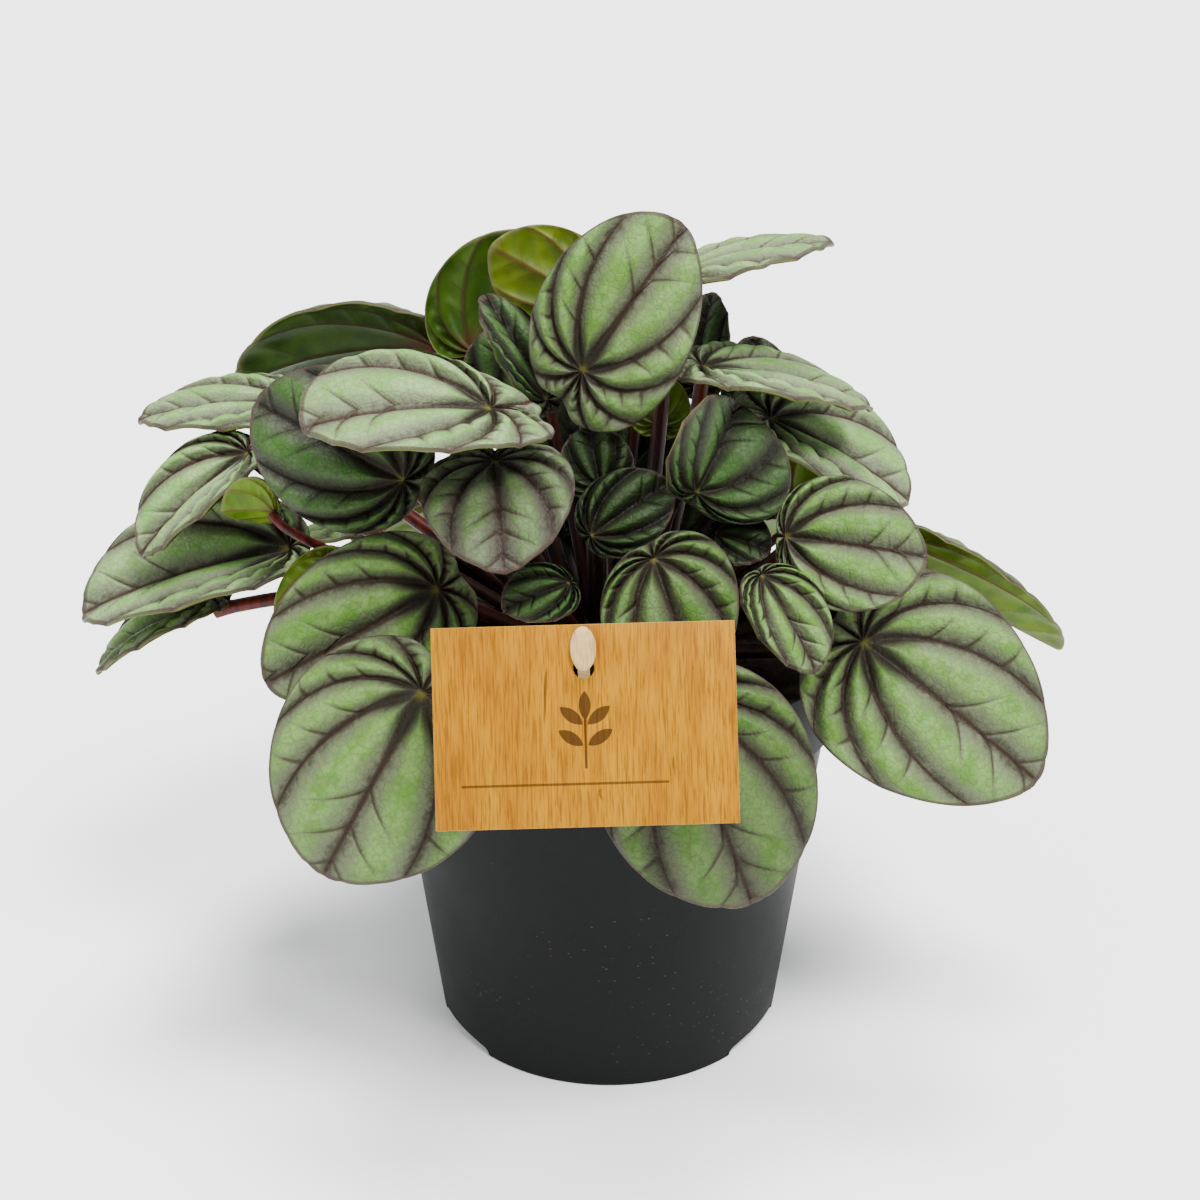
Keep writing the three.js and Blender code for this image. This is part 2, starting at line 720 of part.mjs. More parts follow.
/** A strip that stands in the soil, leans out over the rim and passes through the label's hole. */
function stakeGeometry() {
  const { width, thickness, throughHole, head } = STAKE;
  const lean = THREE.MathUtils.degToRad(LABEL.leanBack);
  const [x, topY, topZ] = LABEL.topMiddle;
  const onAxis = (out) =>
    new THREE.Vector3(
      x,
      topY - throughHole * Math.sin(lean) - out * Math.cos(lean),
      topZ - throughHole * Math.cos(lean) + out * Math.sin(lean),
    );
  const line = STAKE.path.map(([y, z]) => new THREE.Vector3(x, y, z));
  line.push(onAxis(-4), onAxis(LABEL.thickness + CLEARANCE + head.thickness / 2));
  const section = new THREE.Shape();
  section.moveTo(-width / 2, -thickness / 2);
  section.lineTo(width / 2, -thickness / 2);
  section.lineTo(width / 2, thickness / 2);
  section.lineTo(-width / 2, thickness / 2);
  section.closePath();
  const strip = new THREE.ExtrudeGeometry(section, {
    extrudePath: new THREE.CatmullRomCurve3(line),
    steps: 20,
    bevelEnabled: false,
  });
  const oval = new THREE.Shape();
  oval.absellipse(0, -head.down, head.halfWidth, head.halfHeight, 0, 2 * Math.PI);
  const knob = new THREE.ExtrudeGeometry(oval, {
    depth: head.thickness - 1.2,
    bevelThickness: 0.6,
    bevelSize: 0.6,
    bevelOffset: -0.6,
    bevelSegments: 1,
    curveSegments: 8,
  }).translate(0, 0, LABEL.thickness + CLEARANCE + 0.6);
  return geometryOf(solidOf(strip).add(solidOf(onLabel(knob))));
}

// ---------------------------------------------------------------- assembly

const posedLeaves = LEAVES.map((leaf) => ({ leaf, pose: poseOf(leaf) }));

addPiece("pot", potGeometry(), potPlastic);
addPiece("soil", soilGeometry(), pottingSoil);
addPiece("crown_and_stalks", crownGeometry(posedLeaves), stalkRed);
for (const { leaf, pose } of posedLeaves) {
  addPiece(`leaf_${leaf.name}`, bladeGeometry(pose), bladeGreen);
}
addPiece("label", labelGeometry(), labelCard);
addPiece("label_stake", stakeGeometry(), stakeWood);

export default plant;
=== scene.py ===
"""A potted peperomia: quilted, dark-veined leaves on red stalks, in a nursery pot with a plant label.

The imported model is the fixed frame. Each sub-assembly is a class that builds its meshes in the
model's own places and dresses them, and each finish is a small class that builds one material.
Lengths in the dataclasses are millimetres, as on a maker's drawing; MM turns them into metres.
"""

import logging
import math
import random
from dataclasses import dataclass
from enum import Enum
from typing import Callable

import bmesh
import bpy
import numpy as np
from mathutils import Matrix, Vector, noise


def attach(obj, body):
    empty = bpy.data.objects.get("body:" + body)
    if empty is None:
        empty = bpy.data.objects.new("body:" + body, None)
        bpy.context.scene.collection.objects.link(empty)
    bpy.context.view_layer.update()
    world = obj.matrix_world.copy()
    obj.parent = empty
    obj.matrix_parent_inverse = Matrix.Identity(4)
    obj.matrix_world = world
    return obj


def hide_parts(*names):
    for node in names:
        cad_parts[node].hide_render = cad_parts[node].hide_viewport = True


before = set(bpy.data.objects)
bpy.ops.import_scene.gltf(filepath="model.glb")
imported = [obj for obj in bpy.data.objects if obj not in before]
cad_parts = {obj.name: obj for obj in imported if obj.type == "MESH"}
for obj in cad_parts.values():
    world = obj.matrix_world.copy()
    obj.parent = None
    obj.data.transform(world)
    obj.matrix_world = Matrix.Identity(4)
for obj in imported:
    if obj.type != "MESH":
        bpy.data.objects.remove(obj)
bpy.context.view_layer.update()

log = logging.getLogger("potted_peperomia")

MM = 0.001
BODY = "root"

Point = tuple[float, float, float]
Colour = tuple[float, float, float]
Socket = bpy.types.NodeSocket


def shade(red: int, green: int, blue: int) -> Colour:
    """Turns a screen colour into the linear one that a shader takes.

    Args:
        red: Red from 0 to 255.
        green: Green from 0 to 255.
        blue: Blue from 0 to 255.

    Returns:
        The linear colour.
    """
    def linear(value: int) -> float:
        """Undoes the screen's curve for one channel."""
        share = value / 255
        return share / 12.92 if share <= 0.04045 else ((share + 0.055) / 1.055) ** 2.4

    return linear(red), linear(green), linear(blue)


# ---------------------------------------------------------------- shader nodes


class Shader:
    """One material's nodes, with the principled surface at their end."""

    def __init__(self, name: str) -> None:
        """Makes the material with its surface and its coordinates.

        Args:
            name: The material's name.
        """
        self.material = bpy.data.materials.new(name)
        self.material.use_nodes = True
        self.tree = self.material.node_tree
        self.tree.nodes.clear()
        output = self.add("ShaderNodeOutputMaterial")
        self.surface = self.add("ShaderNodeBsdfPrincipled")
        self.tree.links.new(self.surface.outputs["BSDF"], output.inputs["Surface"])
        coordinates = self.add("ShaderNodeTexCoord")
        self.object = coordinates.outputs["Object"]
        self.uv = coordinates.outputs["UV"]

    def add(self, kind: str, **settings: object) -> bpy.types.Node:
        """Adds a node.

        Args:
            kind: The node's type.
            settings: Properties to set on it.

        Returns:
            The node.
        """
        node = self.tree.nodes.new(kind)
        for name, value in settings.items():
            setattr(node, name, value)
        return node

    def put(self, target: Socket, value: object) -> None:
        """Links a socket to another one, or sets its constant.

        Args:
            target: The input socket.
            value: An output socket, a number, a colour or a vector.
        """
        if isinstance(value, bpy.types.NodeSocket):
            self.tree.links.new(value, target)
        elif isinstance(value, (int, float)):
            target.default_value = value
        else:
            size = len(target.default_value)
            target.default_value = (*value, 1.0)[:size]

    def math(self, operation: str, first: object, second: object = 0.0, third: object = 0.0) -> Socket:
        """Does one sum.

        Args:
            operation: The node's operation.
            first: A socket or a number.
            second: A socket or a number.
            third: A socket or a number.

        Returns:
            The result's socket.
        """
        node = self.add("ShaderNodeMath", operation=operation)
        for target, value in zip(node.inputs, (first, second, third)):
            self.put(target, value)
        return node.outputs[0]

    def mix(self, share: object, base: object, over: object) -> Socket:
        """Lays one colour over another.

        Args:
            share: How much of the upper colour shows.
            base: The lower colour.
            over: The upper colour.

        Returns:
            The mixed colour's socket.
        """
        node = self.add("ShaderNodeMix", data_type="RGBA")
        for place, value in ((0, share), (6, base), (7, over)):
            self.put(node.inputs[place], value)
        return node.outputs[2]

    def fade(self, value: object, start: object, end: object, first: object = 0.0,
             last: object = 1.0) -> Socket:
        """Turns a range of a value smoothly into another range, and clamps it there.

        Args:
            value: The value.
            start: Where the fade starts.
            end: Where it ends.
            first: The result at the start.
            last: The result at the end.

        Returns:
            The result's socket.
        """
        node = self.add("ShaderNodeMapRange", interpolation_type="SMOOTHSTEP")
        for place, number in enumerate((value, start, end, first, last)):
            self.put(node.inputs[place], number)
        return node.outputs[0]

    def layer(self, base: object, over: object, value: object, start: float, end: float,
              first: float = 0.0, last: float = 1.0) -> Socket:
        """Lays one colour over another, more or less strongly through a range of a value.

        Args:
            base: The lower colour.
            over: The upper colour.
            value: The value.
            start: Where the range starts.
            end: Where it ends.
            first: How much of the upper colour shows at the start.
            last: How much shows at the end.

        Returns:
            The mixed colour's socket.
        """
        return self.mix(self.fade(value, start, end, first, last), base, over)

    def stretched(self, vector: Socket, scale: Point) -> Socket:
        """Scales coordinates.

        Args:
            vector: The coordinates.
            scale: The factor along each axis.

        Returns:
            The new coordinates' socket.
        """
        node = self.add("ShaderNodeMapping")
        self.put(node.inputs["Vector"], vector)
        self.put(node.inputs["Scale"], scale)
        return node.outputs[0]

    def noise(self, vector: Socket, scale: float, detail: float = 3.0, roughness: float = 0.5,
              distortion: float = 0.0) -> Socket:
        """Smooth noise from 0 to 1.

        Args:
            vector: The coordinates.
            scale: How many lumps fit in one unit.
            detail: How many finer layers are added.
            roughness: How strong those are.
            distortion: How much the noise warps itself.

        Returns:
            The noise's socket.
        """
        node = self.add("ShaderNodeTexNoise")
        self.put(node.inputs["Vector"], vector)
        for name, value in (("Scale", scale), ("Detail", detail), ("Roughness", roughness),
                            ("Distortion", distortion)):
            self.put(node.inputs[name], value)
        return node.outputs["Fac"]

    def cells(self, vector: Socket, scale: float, feature: str = "F1") -> Socket:
        """Distances in a pattern of random cells.

        Args:
            vector: The coordinates.
            scale: How many cells fit in one unit.
            feature: Which distance is measured.

        Returns:
            The distance's socket.
        """
        node = self.add("ShaderNodeTexVoronoi", feature=feature)
        self.put(node.inputs["Vector"], vector)
        self.put(node.inputs["Scale"], scale)
        return node.outputs["Distance"]

    def attribute(self, name: str) -> Socket:
        """Reads a number that a mesh carries at each of its points.

        Args:
            name: The attribute's name.

        Returns:
            The number's socket.
        """
        return self.add("ShaderNodeAttribute", attribute_name=name).outputs["Fac"]

    def parts(self, vector: Socket) -> list[Socket]:
        """Takes coordinates apart.

        Args:
            vector: The coordinates.

        Returns:
            The sockets of their three numbers.
        """
        node = self.add("ShaderNodeSeparateXYZ")
        self.put(node.inputs[0], vector)
        return list(node.outputs)

    def emboss(self, height: Socket, depth: float, strength: float = 1.0) -> None:
        """Gives the surface a fine relief.

        Args:
            height: The relief, from 0 to 1.
            depth: The relief's full height in millimetres.
            strength: How much of it shows.
        """
        node = self.add("ShaderNodeBump")
        self.put(node.inputs["Height"], height)
        self.put(node.inputs["Distance"], depth * MM)
        self.put(node.inputs["Strength"], strength)
        self.put(self.surface.inputs["Normal"], node.outputs[0])

    def skin(self, colour: object, roughness: object, specular: float = 0.5) -> bpy.types.Material:
        """Sets what every finish has, and hands the material over.

        Args:
            colour: The base colour.
            roughness: The roughness.
            specular: The specular level.

        Returns:
            The finished material.
        """
        self.put(self.surface.inputs["Base Color"], colour)
        self.put(self.surface.inputs["Roughness"], roughness)
        self.put(self.surface.inputs["Specular IOR Level"], specular)
        return self.material


# ---------------------------------------------------------------- mesh helpers


Placer = Callable[[np.ndarray, np.ndarray], np.ndarray]


@dataclass
class Rolled:
    """A sheet of a grid that is rolled or fanned into a shape by a formula.

    Attributes:
        columns: Cells round the shape.
        rows: Cells along it.
    """

    columns: int
    rows: int

    def add_to(self, mesh: bmesh.types.BMesh, place: Placer,
               notes: dict[str, Callable[[np.ndarray, np.ndarray], np.ndarray]] | None = None) -> None:
        """Adds the shape to a mesh, with a UV map that follows the sheet.

        Args:
            mesh: The mesh that it is added to.
            place: Gives points in millimetres from shares round and along the sheet.
            notes: Numbers that each point carries, by attribute name, from the same shares.
        """
        mesh.loops.layers.uv.verify()
        layers = {name: mesh.verts.layers.float.new(name) for name in notes or {}}
        made = bmesh.ops.create_grid(mesh, x_segments=self.columns, y_segments=self.rows,
                                     size=0.5, calc_uvs=True)["verts"]
        shares = np.array([vertex.co for vertex in made])[:, :2] + 0.5
        around, along = shares[:, 0], shares[:, 1]
        points = place(around, along) * MM
        for vertex, point in zip(made, points):
            vertex.co = point
        for name, layer in layers.items():
            for vertex, value in zip(made, notes[name](around, along)):
                vertex[layer] = value


def seal(mesh: bmesh.types.BMesh, reach: float = 0.002) -> None:
    """Closes seams and poles, caps open ends and turns the faces outwards.

    Args:
        mesh: The mesh.
        reach: How far apart points that belong together may lie, in millimetres.
    """
    bmesh.ops.remove_doubles(mesh, verts=mesh.verts, dist=reach * MM)
    bmesh.ops.holes_fill(mesh, edges=[edge for edge in mesh.edges if edge.is_boundary], sides=0)
    bmesh.ops.recalc_face_normals(mesh, faces=mesh.faces)


def piece_of(mesh: bmesh.types.BMesh, name: str, node: str,
             finishes: list[bpy.types.Material], crease: float = 180.0) -> bpy.types.Object:
    """Makes a piece that stands for a node of the model and rides with it.

    Args:
        mesh: The piece's mesh, in place. It is freed.
        name: The piece's name.
        node: The node that it stands for.
        finishes: The piece's materials.
        crease: The angle in degrees from which an edge stays sharp.

    Returns:
        The piece.
    """
    data = bpy.data.meshes.new(name)
    mesh.to_mesh(data)
    mesh.free()
    data.shade_smooth()
    data.set_sharp_from_angle(angle=math.radians(crease))
    for finish in finishes:
        data.materials.append(finish)
    piece = bpy.data.objects.new(name, data)
    bpy.context.scene.collection.objects.link(piece)
    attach(piece, BODY)
    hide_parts(node)
    log.info("%s: %d faces", name, len(data.polygons))
    return piece


def carved(body: bmesh.types.BMesh, cutter: bmesh.types.BMesh) -> bmesh.types.BMesh:
    """Cuts one closed mesh out of another.

    Args:
        body: The mesh that is cut. It is freed.
        cutter: The mesh that is taken away. It is freed.

    Returns:
        The cut mesh.
    """
    objects = []
    for mesh in (body, cutter):
        data = bpy.data.meshes.new("carving")
        mesh.to_mesh(data)
        mesh.free()
        objects.append(bpy.data.objects.new("carving", data))
        bpy.context.scene.collection.objects.link(objects[-1])
    modifier = objects[0].modifiers.new("carve", "BOOLEAN")
    modifier.operation = "DIFFERENCE"
    modifier.solver = "EXACT"
    modifier.object = objects[1]
    graph = bpy.context.evaluated_depsgraph_get()
    result = bmesh.new()
    result.from_object(objects[0], graph)
    for unused in objects:
        bpy.data.objects.remove(unused)
    return result


def round_cutter(radius: float, depth: float, middle: Point, segments: int) -> bmesh.types.BMesh:
    """A cylinder to cut a round hole with, along the third axis.

    Args:
        radius: Its radius in millimetres.
        depth: Its length in millimetres.
        middle: Its middle in millimetres.
        segments: How many sides it has.

    Returns:
        The cutter.
    """
    mesh = bmesh.new()
    place = Matrix.Translation([length * MM for length in middle])
    bmesh.ops.create_cone(mesh, cap_ends=True, segments=segments, radius1=radius * MM,
                          radius2=radius * MM, depth=depth * MM, matrix=place)
    return mesh


def smooth(value: np.ndarray, start: float, end: float) -> np.ndarray:
    """Rises smoothly from 0 to 1.

    Args:
        value: The values.
        start: Where it is 0.
        end: Where it is 1.

    Returns:
        The shares.
    """
    share = np.clip((value - start) / (end - start), 0, 1)
    return share * share * (3 - 2 * share)


def unit(vector: np.ndarray) -> np.ndarray:
    """Gives a vector a length of 1."""
    return vector / np.linalg.norm(vector, axis=-1, keepdims=True)


def turn(mesh: bmesh.types.BMesh, profile: list[tuple[float, float]], steps: int) -> None:
    """Turns a profile about the upright axis into a closed body.

    Args:
        mesh: The mesh that it is added to.
        profile: Radius and height pairs in millimetres, which start and end on the axis.
        steps: How many steps the turn has.
    """
    chain = bmesh.ops.create_vert(mesh, co=(profile[0][0] * MM, 0, profile[0][1] * MM))["vert"]
    edges: list[bmesh.types.BMEdge] = []
    for (radius, height), (last_radius, last_height) in zip(profile[1:], profile):
        grown = bmesh.ops.extrude_vert_indiv(mesh, verts=chain)
        chain = grown["verts"]
        edges += grown["edges"]
        step = ((radius - last_radius) * MM, 0, (height - last_height) * MM)
        bmesh.ops.translate(mesh, verts=chain, vec=step)
    line = list({vertex for edge in edges for vertex in edge.verts}) + edges
    bmesh.ops.spin(mesh, geom=line, axis=(0, 0, 1), cent=(0, 0, 0), angle=math.tau, steps=steps,
                   use_merge=True)
    seal(mesh)


def sweep(mesh: bmesh.types.BMesh, centres: np.ndarray, headings: np.ndarray,
          halves: list[tuple[float, float]], sides: int, start: float = 0.0, stretch: float = 1.0) -> None:
    """Extrudes a ring along a line, and closes both of its ends.

    Args:
        mesh: The mesh that it is added to.
        centres: The line's points in millimetres.
        headings: The line's directions there.
        halves: The ring's half width and half depth at each point.
        sides: The ring's number of sides.
        start: The angle of the ring's first corner.
        stretch: How much further out the corners lie than the half width.
    """
    unit_ring = Matrix.Rotation(start, 4, "Z")
    runs_along_x = abs(headings[0][0]) >= 0.9 * np.linalg.norm(headings[0])
    side = Vector((0, 1, 0)) if runs_along_x else Vector((1, 0, 0))
    last = None
    edges: list[bmesh.types.BMEdge] = []
    for centre, heading, (half_width, half_depth) in zip(centres, headings, halves):
        forward = Vector(heading).normalized()
        side = (side - forward * side.dot(forward)).normalized()
        frame_here = Matrix((side, forward.cross(side), forward)).transposed().to_4x4()
        size = Matrix.Diagonal((half_width * stretch * MM, half_depth * stretch * MM, 1, 1))
        place = Matrix.Translation(Vector(centre) * MM) @ frame_here @ size @ unit_ring
        if last is None:
            ring = bmesh.ops.create_circle(mesh, cap_ends=True, segments=sides, radius=1,
                                           matrix=place)["verts"]
            edges = list({edge for vertex in ring for edge in vertex.link_edges})
        else:
            grown = bmesh.ops.extrude_edge_only(mesh, edges=edges)["geom"]
            edges = [item for item in grown if isinstance(item, bmesh.types.BMEdge)]
            ring = [item for item in grown if isinstance(item, bmesh.types.BMVert)]
            bmesh.ops.transform(mesh, matrix=place @ last.inverted(), verts=ring)
        last = place
    bmesh.ops.holes_fill(mesh, edges=edges, sides=0)


def rounded_line(knots: list[np.ndarray], steps: int) -> np.ndarray:
    """Draws a smooth line through points, with short swings where they lie close together.

    Args:
        knots: The points.
        steps: How many pieces the line has between two of them.

    Returns:
        The line's points.
    """
    padded = [2 * knots[0] - knots[1], *knots, 2 * knots[-1] - knots[-2]]
    line = [knots[0]]
    for p0, p1, p2, p3 in zip(padded, padded[1:], padded[2:], padded[3:]):
        t1 = np.linalg.norm(p1 - p0) ** 0.5
        t2 = t1 + np.linalg.norm(p2 - p1) ** 0.5
        t3 = t2 + np.linalg.norm(p3 - p2) ** 0.5
        for t in np.linspace(t1, t2, steps + 1)[1:]:
            a1 = p0 + (p1 - p0) * t / t1
            a2 = p1 + (p2 - p1) * (t - t1) / (t2 - t1)
            a3 = p2 + (p3 - p2) * (t - t2) / (t3 - t2)
            b1 = a1 + (a2 - a1) * t / t2
            b2 = a2 + (a3 - a2) * (t - t1) / (t3 - t1)
            line.append(b1 + (b2 - b1) * (t - t1) / (t2 - t1))
    return np.array(line)


# ---------------------------------------------------------------- finishes


@dataclass(frozen=True)
class LeafColours:
    """The colours of a blade's upper side.

    Attributes:
        silver_lit_crest: The silvery top of the pillows between the veins, kept lightest: partly real
            silver, partly a painted highlight.
        patch: The greener patches on them.
        side: The greyish lower flanks of the pillows and the outer zone; on the flanks it is partly real
            grey, partly painted shade.
        dark_shaded_flank: The dark foot of the pillows, beside the veins: partly real dark colour, partly
            painted shade in the valleys.
        vein: The main veins and their forks.
        heart: The dark middle round the joint.
        spot: The joint itself.
        edge: The margin line.
    """

    silver_lit_crest: Colour
    patch: Colour
    side: Colour
    dark_shaded_flank: Colour
    vein: Colour
    heart: Colour = shade(30, 27, 18)
    spot: Colour = shade(76, 72, 22)
    edge: Colour = shade(60, 48, 42)


class Upper(Enum):
    """The kinds of upper side that the plant shows: one leaf colour in lighter and darker copies that paint
    the light and shade each leaf gets, over some real differences in tone.
    """

    FRESH = LeafColours(shade(94, 126, 62), shade(74, 112, 36), shade(84, 90, 68),
                        shade(44, 43, 32), shade(38, 23, 17))
    # Painted light: a brighter copy of the fresh colour, for outer leaves that face up into the light.
    PALE_LIT = LeafColours(shade(120, 148, 92), shade(98, 140, 66), shade(104, 112, 86),
                       shade(58, 57, 45), shade(48, 31, 25))
    # Painted shade: the fresh colour made darker for upright front leaves, which face away from the light
    # above.
    MUTED_SHADED = LeafColours(shade(74, 98, 48), shade(58, 90, 28), shade(64, 68, 50),
                        shade(36, 35, 26), shade(33, 20, 15))
    # Partly real grey, partly painted sheen: a greyer, lighter copy for leaves that face up to the light.
    SILVER = LeafColours(shade(100, 122, 78), shade(84, 118, 58), shade(88, 92, 74),
                         shade(50, 47, 39), shade(44, 28, 22))
    # Partly real grey, partly painted sheen: the silvery copy made darker for one leaf.
    GREY_SHEEN = LeafColours(shade(80, 94, 64), shade(68, 90, 46), shade(70, 69, 58),
                       shade(42, 39, 33), shade(38, 24, 19))
    # Partly real darker green, partly painted shade: for leaves inside and behind the plant.
    DEEP_SHADED = LeafColours(shade(60, 84, 44), shade(46, 78, 26), shade(50, 54, 40),
                       shade(26, 27, 19), shade(22, 15, 10))
    SHADED = LeafColours(shade(40, 56, 26), shade(30, 50, 14), shade(30, 32, 22),
                         shade(15, 15, 10), shade(13, 9, 6))


@dataclass(frozen=True)
class UnderColours:
    """The colours of a blade's underside.

    Attributes:
        skin: The skin between the ribs.
        light: Its lighter patches.
        rib: The ribs.
        heart: The reddish middle where the stalk joins.
        edge: The margin.
    """

    skin: Colour
    light: Colour
    rib: Colour
    heart: Colour = shade(70, 28, 18)
    edge: Colour = shade(88, 84, 48)


class Under(Enum):
    """The kinds of underside that the plant shows; the dark one is a shaded copy, painted shade for
    undersides turned away from the light.
    """

    YELLOW = UnderColours(shade(62, 86, 6), shade(82, 108, 12), shade(74, 60, 16))
    OLIVE = UnderColours(shade(66, 82, 4), shade(88, 104, 8), shade(72, 52, 14))
    # Painted shade: a darker copy of the underside, for undersides turned away from the light.
    DARK = UnderColours(shade(32, 54, 5), shade(48, 72, 10), shade(46, 38, 12))


class VeinPattern:
    """What a leaf's shader knows of its veins, from the blade's UV map and attributes.

    Attributes:
        ring: From 0 at the joint to 1 at the margin.
        ridge: From 0 on a main vein to 1 in the middle between two.
        vein_gap: How far away the nearest main vein is, in the millimetres of a grown leaf.
        fork_gap: The same for the forks, which fade out on their way across the band.
        heel: From 0 to 1 towards the heel.
    """

    def __init__(self, shader: Shader) -> None:
        """Works out the distances that both sides of a leaf are coloured by.

        Args:
            shader: The leaf's material.
        """
        column, *_ = shader.parts(shader.uv)
        veins = float(Blade.veins_each_side)
        vein = shader.math("ABSOLUTE", shader.math("MULTIPLY_ADD", column, 2 * veins, -veins))
        inside = shader.math("FRACT", vein)
        self.ring = shader.attribute("ring")
        self.ridge = shader.math("MULTIPLY", shader.math("PINGPONG", vein, 0.5), 2.0)
        half_band = shader.math("MULTIPLY", shader.attribute("band"), 0.5)
        self.vein_gap = shader.math("MULTIPLY", self.ridge, half_band)
        self.heel = shader.fade(vein, 3.0, 4.2)
        rise = shader.math("MULTIPLY", shader.math("POWER", inside, Blade.fork_curve), Blade.fork_rise)
        line = shader.math("ADD", shader.attribute("shift"), rise)
        lag = shader.math("SUBTRACT", self.ring, line)
        gap = 1.0
        for start in Blade.fork_starts:
            gap = shader.math("MINIMUM", gap, shader.math("ABSOLUTE", shader.math("SUBTRACT", lag, start)))
        reach = shader.math("MULTIPLY", shader.attribute("reach"), Blade.fork_lean)
        gap = shader.math("MULTIPLY", gap, reach)
        self.fork_gap = shader.math("ADD", gap, shader.fade(inside, 0.15, 0.95, 0.0, 1.2))


@dataclass(frozen=True)
class LeafUpper:
    """A blade's upper side: silvery pillows, dark sunken veins and a thin margin line, with painted light on
    the pillows' tops and painted shade down into their valleys.

    Attributes:
        tone: The kind of upper side.
        broad_scale: How many broad patches fit in a metre.
        mottle_scale: The same for the mottling.
        grain_scale: The same for the finest grain.
        network_scale: The same for the fine network's meshes.
        crease_scale: How many creases fit round the joint and from it to the margin.
        pillow_gap: How far from a main vein a pillow has its full height, in millimetres.
        relief_height: The height of the bumps that the shader adds, in millimetres.
        height_weights: How much the creases, the mottling and the grain change a pillow's height.
        relief_weights: How much they add to the bumps.
        roughness: The roughness of the smooth and of the grainy places.
        specular: The specular level.
    """

    tone: Upper
    broad_scale: float = 95.0
    mottle_scale: float = 330.0
    grain_scale: float = 1100.0
    network_scale: float = 520.0
    crease_scale: Point = (26.0, 30.0, 1.0)
    pillow_gap: float = 3.2
    relief_height: float = 1.0
    height_weights: Point = (0.55, 0.45, 0.3)
    relief_weights: Point = (0.16, 0.3, 0.1)
    roughness: tuple[float, float] = (0.44, 0.58)
    specular: float = 0.13

    def build(self) -> bpy.types.Material:
        """Builds the material.

        Returns:
            The material, which reads the blade's attributes and UV map.
        """
        shader = Shader(f"leaf_upper_{self.tone.name.lower()}")
        pattern = VeinPattern(shader)
        broad = shader.noise(shader.object, self.broad_scale, 2.0)
        mottle = shader.noise(shader.object, self.mottle_scale, 4.0, 0.6)
        grain = shader.noise(shader.object, self.grain_scale, 3.0, 0.6)
        crease = shader.noise(shader.stretched(shader.uv, self.crease_scale), 1.0, 4.0, 0.65, 0.6)
        network = shader.cells(shader.object, self.network_scale, "DISTANCE_TO_EDGE")
        beside_vein = shader.math("DIVIDE", pattern.vein_gap, self.pillow_gap)
        dome = shader.math("MINIMUM", beside_vein, shader.math("DIVIDE", pattern.ridge, 0.8))

        # How high up its pillow each point is; the painted shade on the pillows follows it.
        height = shader.math("MINIMUM", dome, shader.math("MULTIPLY_ADD", pattern.fork_gap, 0.45, 0.42))
        for layer, weight in zip((crease, mottle, grain), self.height_weights):
            height = shader.math("MULTIPLY_ADD", layer, weight, height)
        height = shader.math("SUBTRACT", height, 0.65)
        colour = self.pillow_colour(shader, pattern, height, (broad, mottle, grain, network))
        colour = self.vein_colour(shader, pattern, colour)

        relief = shader.fade(dome, 0.0, 1.0, 0.0, 1.3)
        relief = shader.math("ADD", relief, shader.fade(pattern.fork_gap, 0.0, 1.2, 0.0, 0.4))
        relief = shader.math("ADD", relief, shader.fade(network, 0.0, 0.16, 0.0, 0.06))
        for layer, weight in zip((crease, mottle, grain), self.relief_weights):
            relief = shader.math("MULTIPLY_ADD", layer, weight, relief)
        shader.emboss(relief, self.relief_height)
        return shader.skin(colour, shader.fade(grain, 0.3, 0.7, *self.roughness), self.specular)

    def pillow_colour(self, shader: Shader, pattern: VeinPattern, height: Socket,
                      layers: tuple[Socket, Socket, Socket, Socket]) -> Socket:
        """Colours the pillows, from their silvery tops down to their dark feet: real grey and dark tones,
        with a painted highlight on the tops and painted shade down the sides into the valleys.

        Args:
            shader: The leaf's material.
            pattern: Where its veins are.
            height: How high up its pillow each point is, which the painted shade follows.
            layers: The broad patches, the mottling, the grain and the fine network.

        Returns:
            The colour.
        """
        colours = self.tone.value
        broad, mottle, grain, network = layers
        patches = shader.math("MULTIPLY", shader.math("ADD", broad, mottle), 0.5)
        # The silvery crest colour, partly a painted highlight, is the base that the painted shade is laid
        # over.
        colour = shader.layer(colours.silver_lit_crest, colours.patch, patches, 0.44, 0.58)
        colour = shader.layer(colour, colours.side, grain, 0.46, 0.66, 0.0, 0.55)
        outer = shader.math("MULTIPLY_ADD", mottle, 0.5, pattern.ring)
        outer = shader.math("MULTIPLY_ADD", pattern.heel, 0.25, outer)
        colour = shader.layer(colour, colours.side, outer, 1.1, 1.4, 0.0, 0.7)
        # Painted shade: lower down a pillow the colour turns grey and then dark at its foot by the veins,
        # partly real colour and partly the valleys' shade.
        colour = shader.layer(colour, colours.side, height, 0.3, 1.0, 1.0, 0.0)
        colour = shader.layer(colour, colours.dark_shaded_flank, height, 0.0, 0.42, 0.95, 0.0)
        return shader.layer(colour, colours.dark_shaded_flank, network, 0.0, 0.12, 0.2, 0.0)

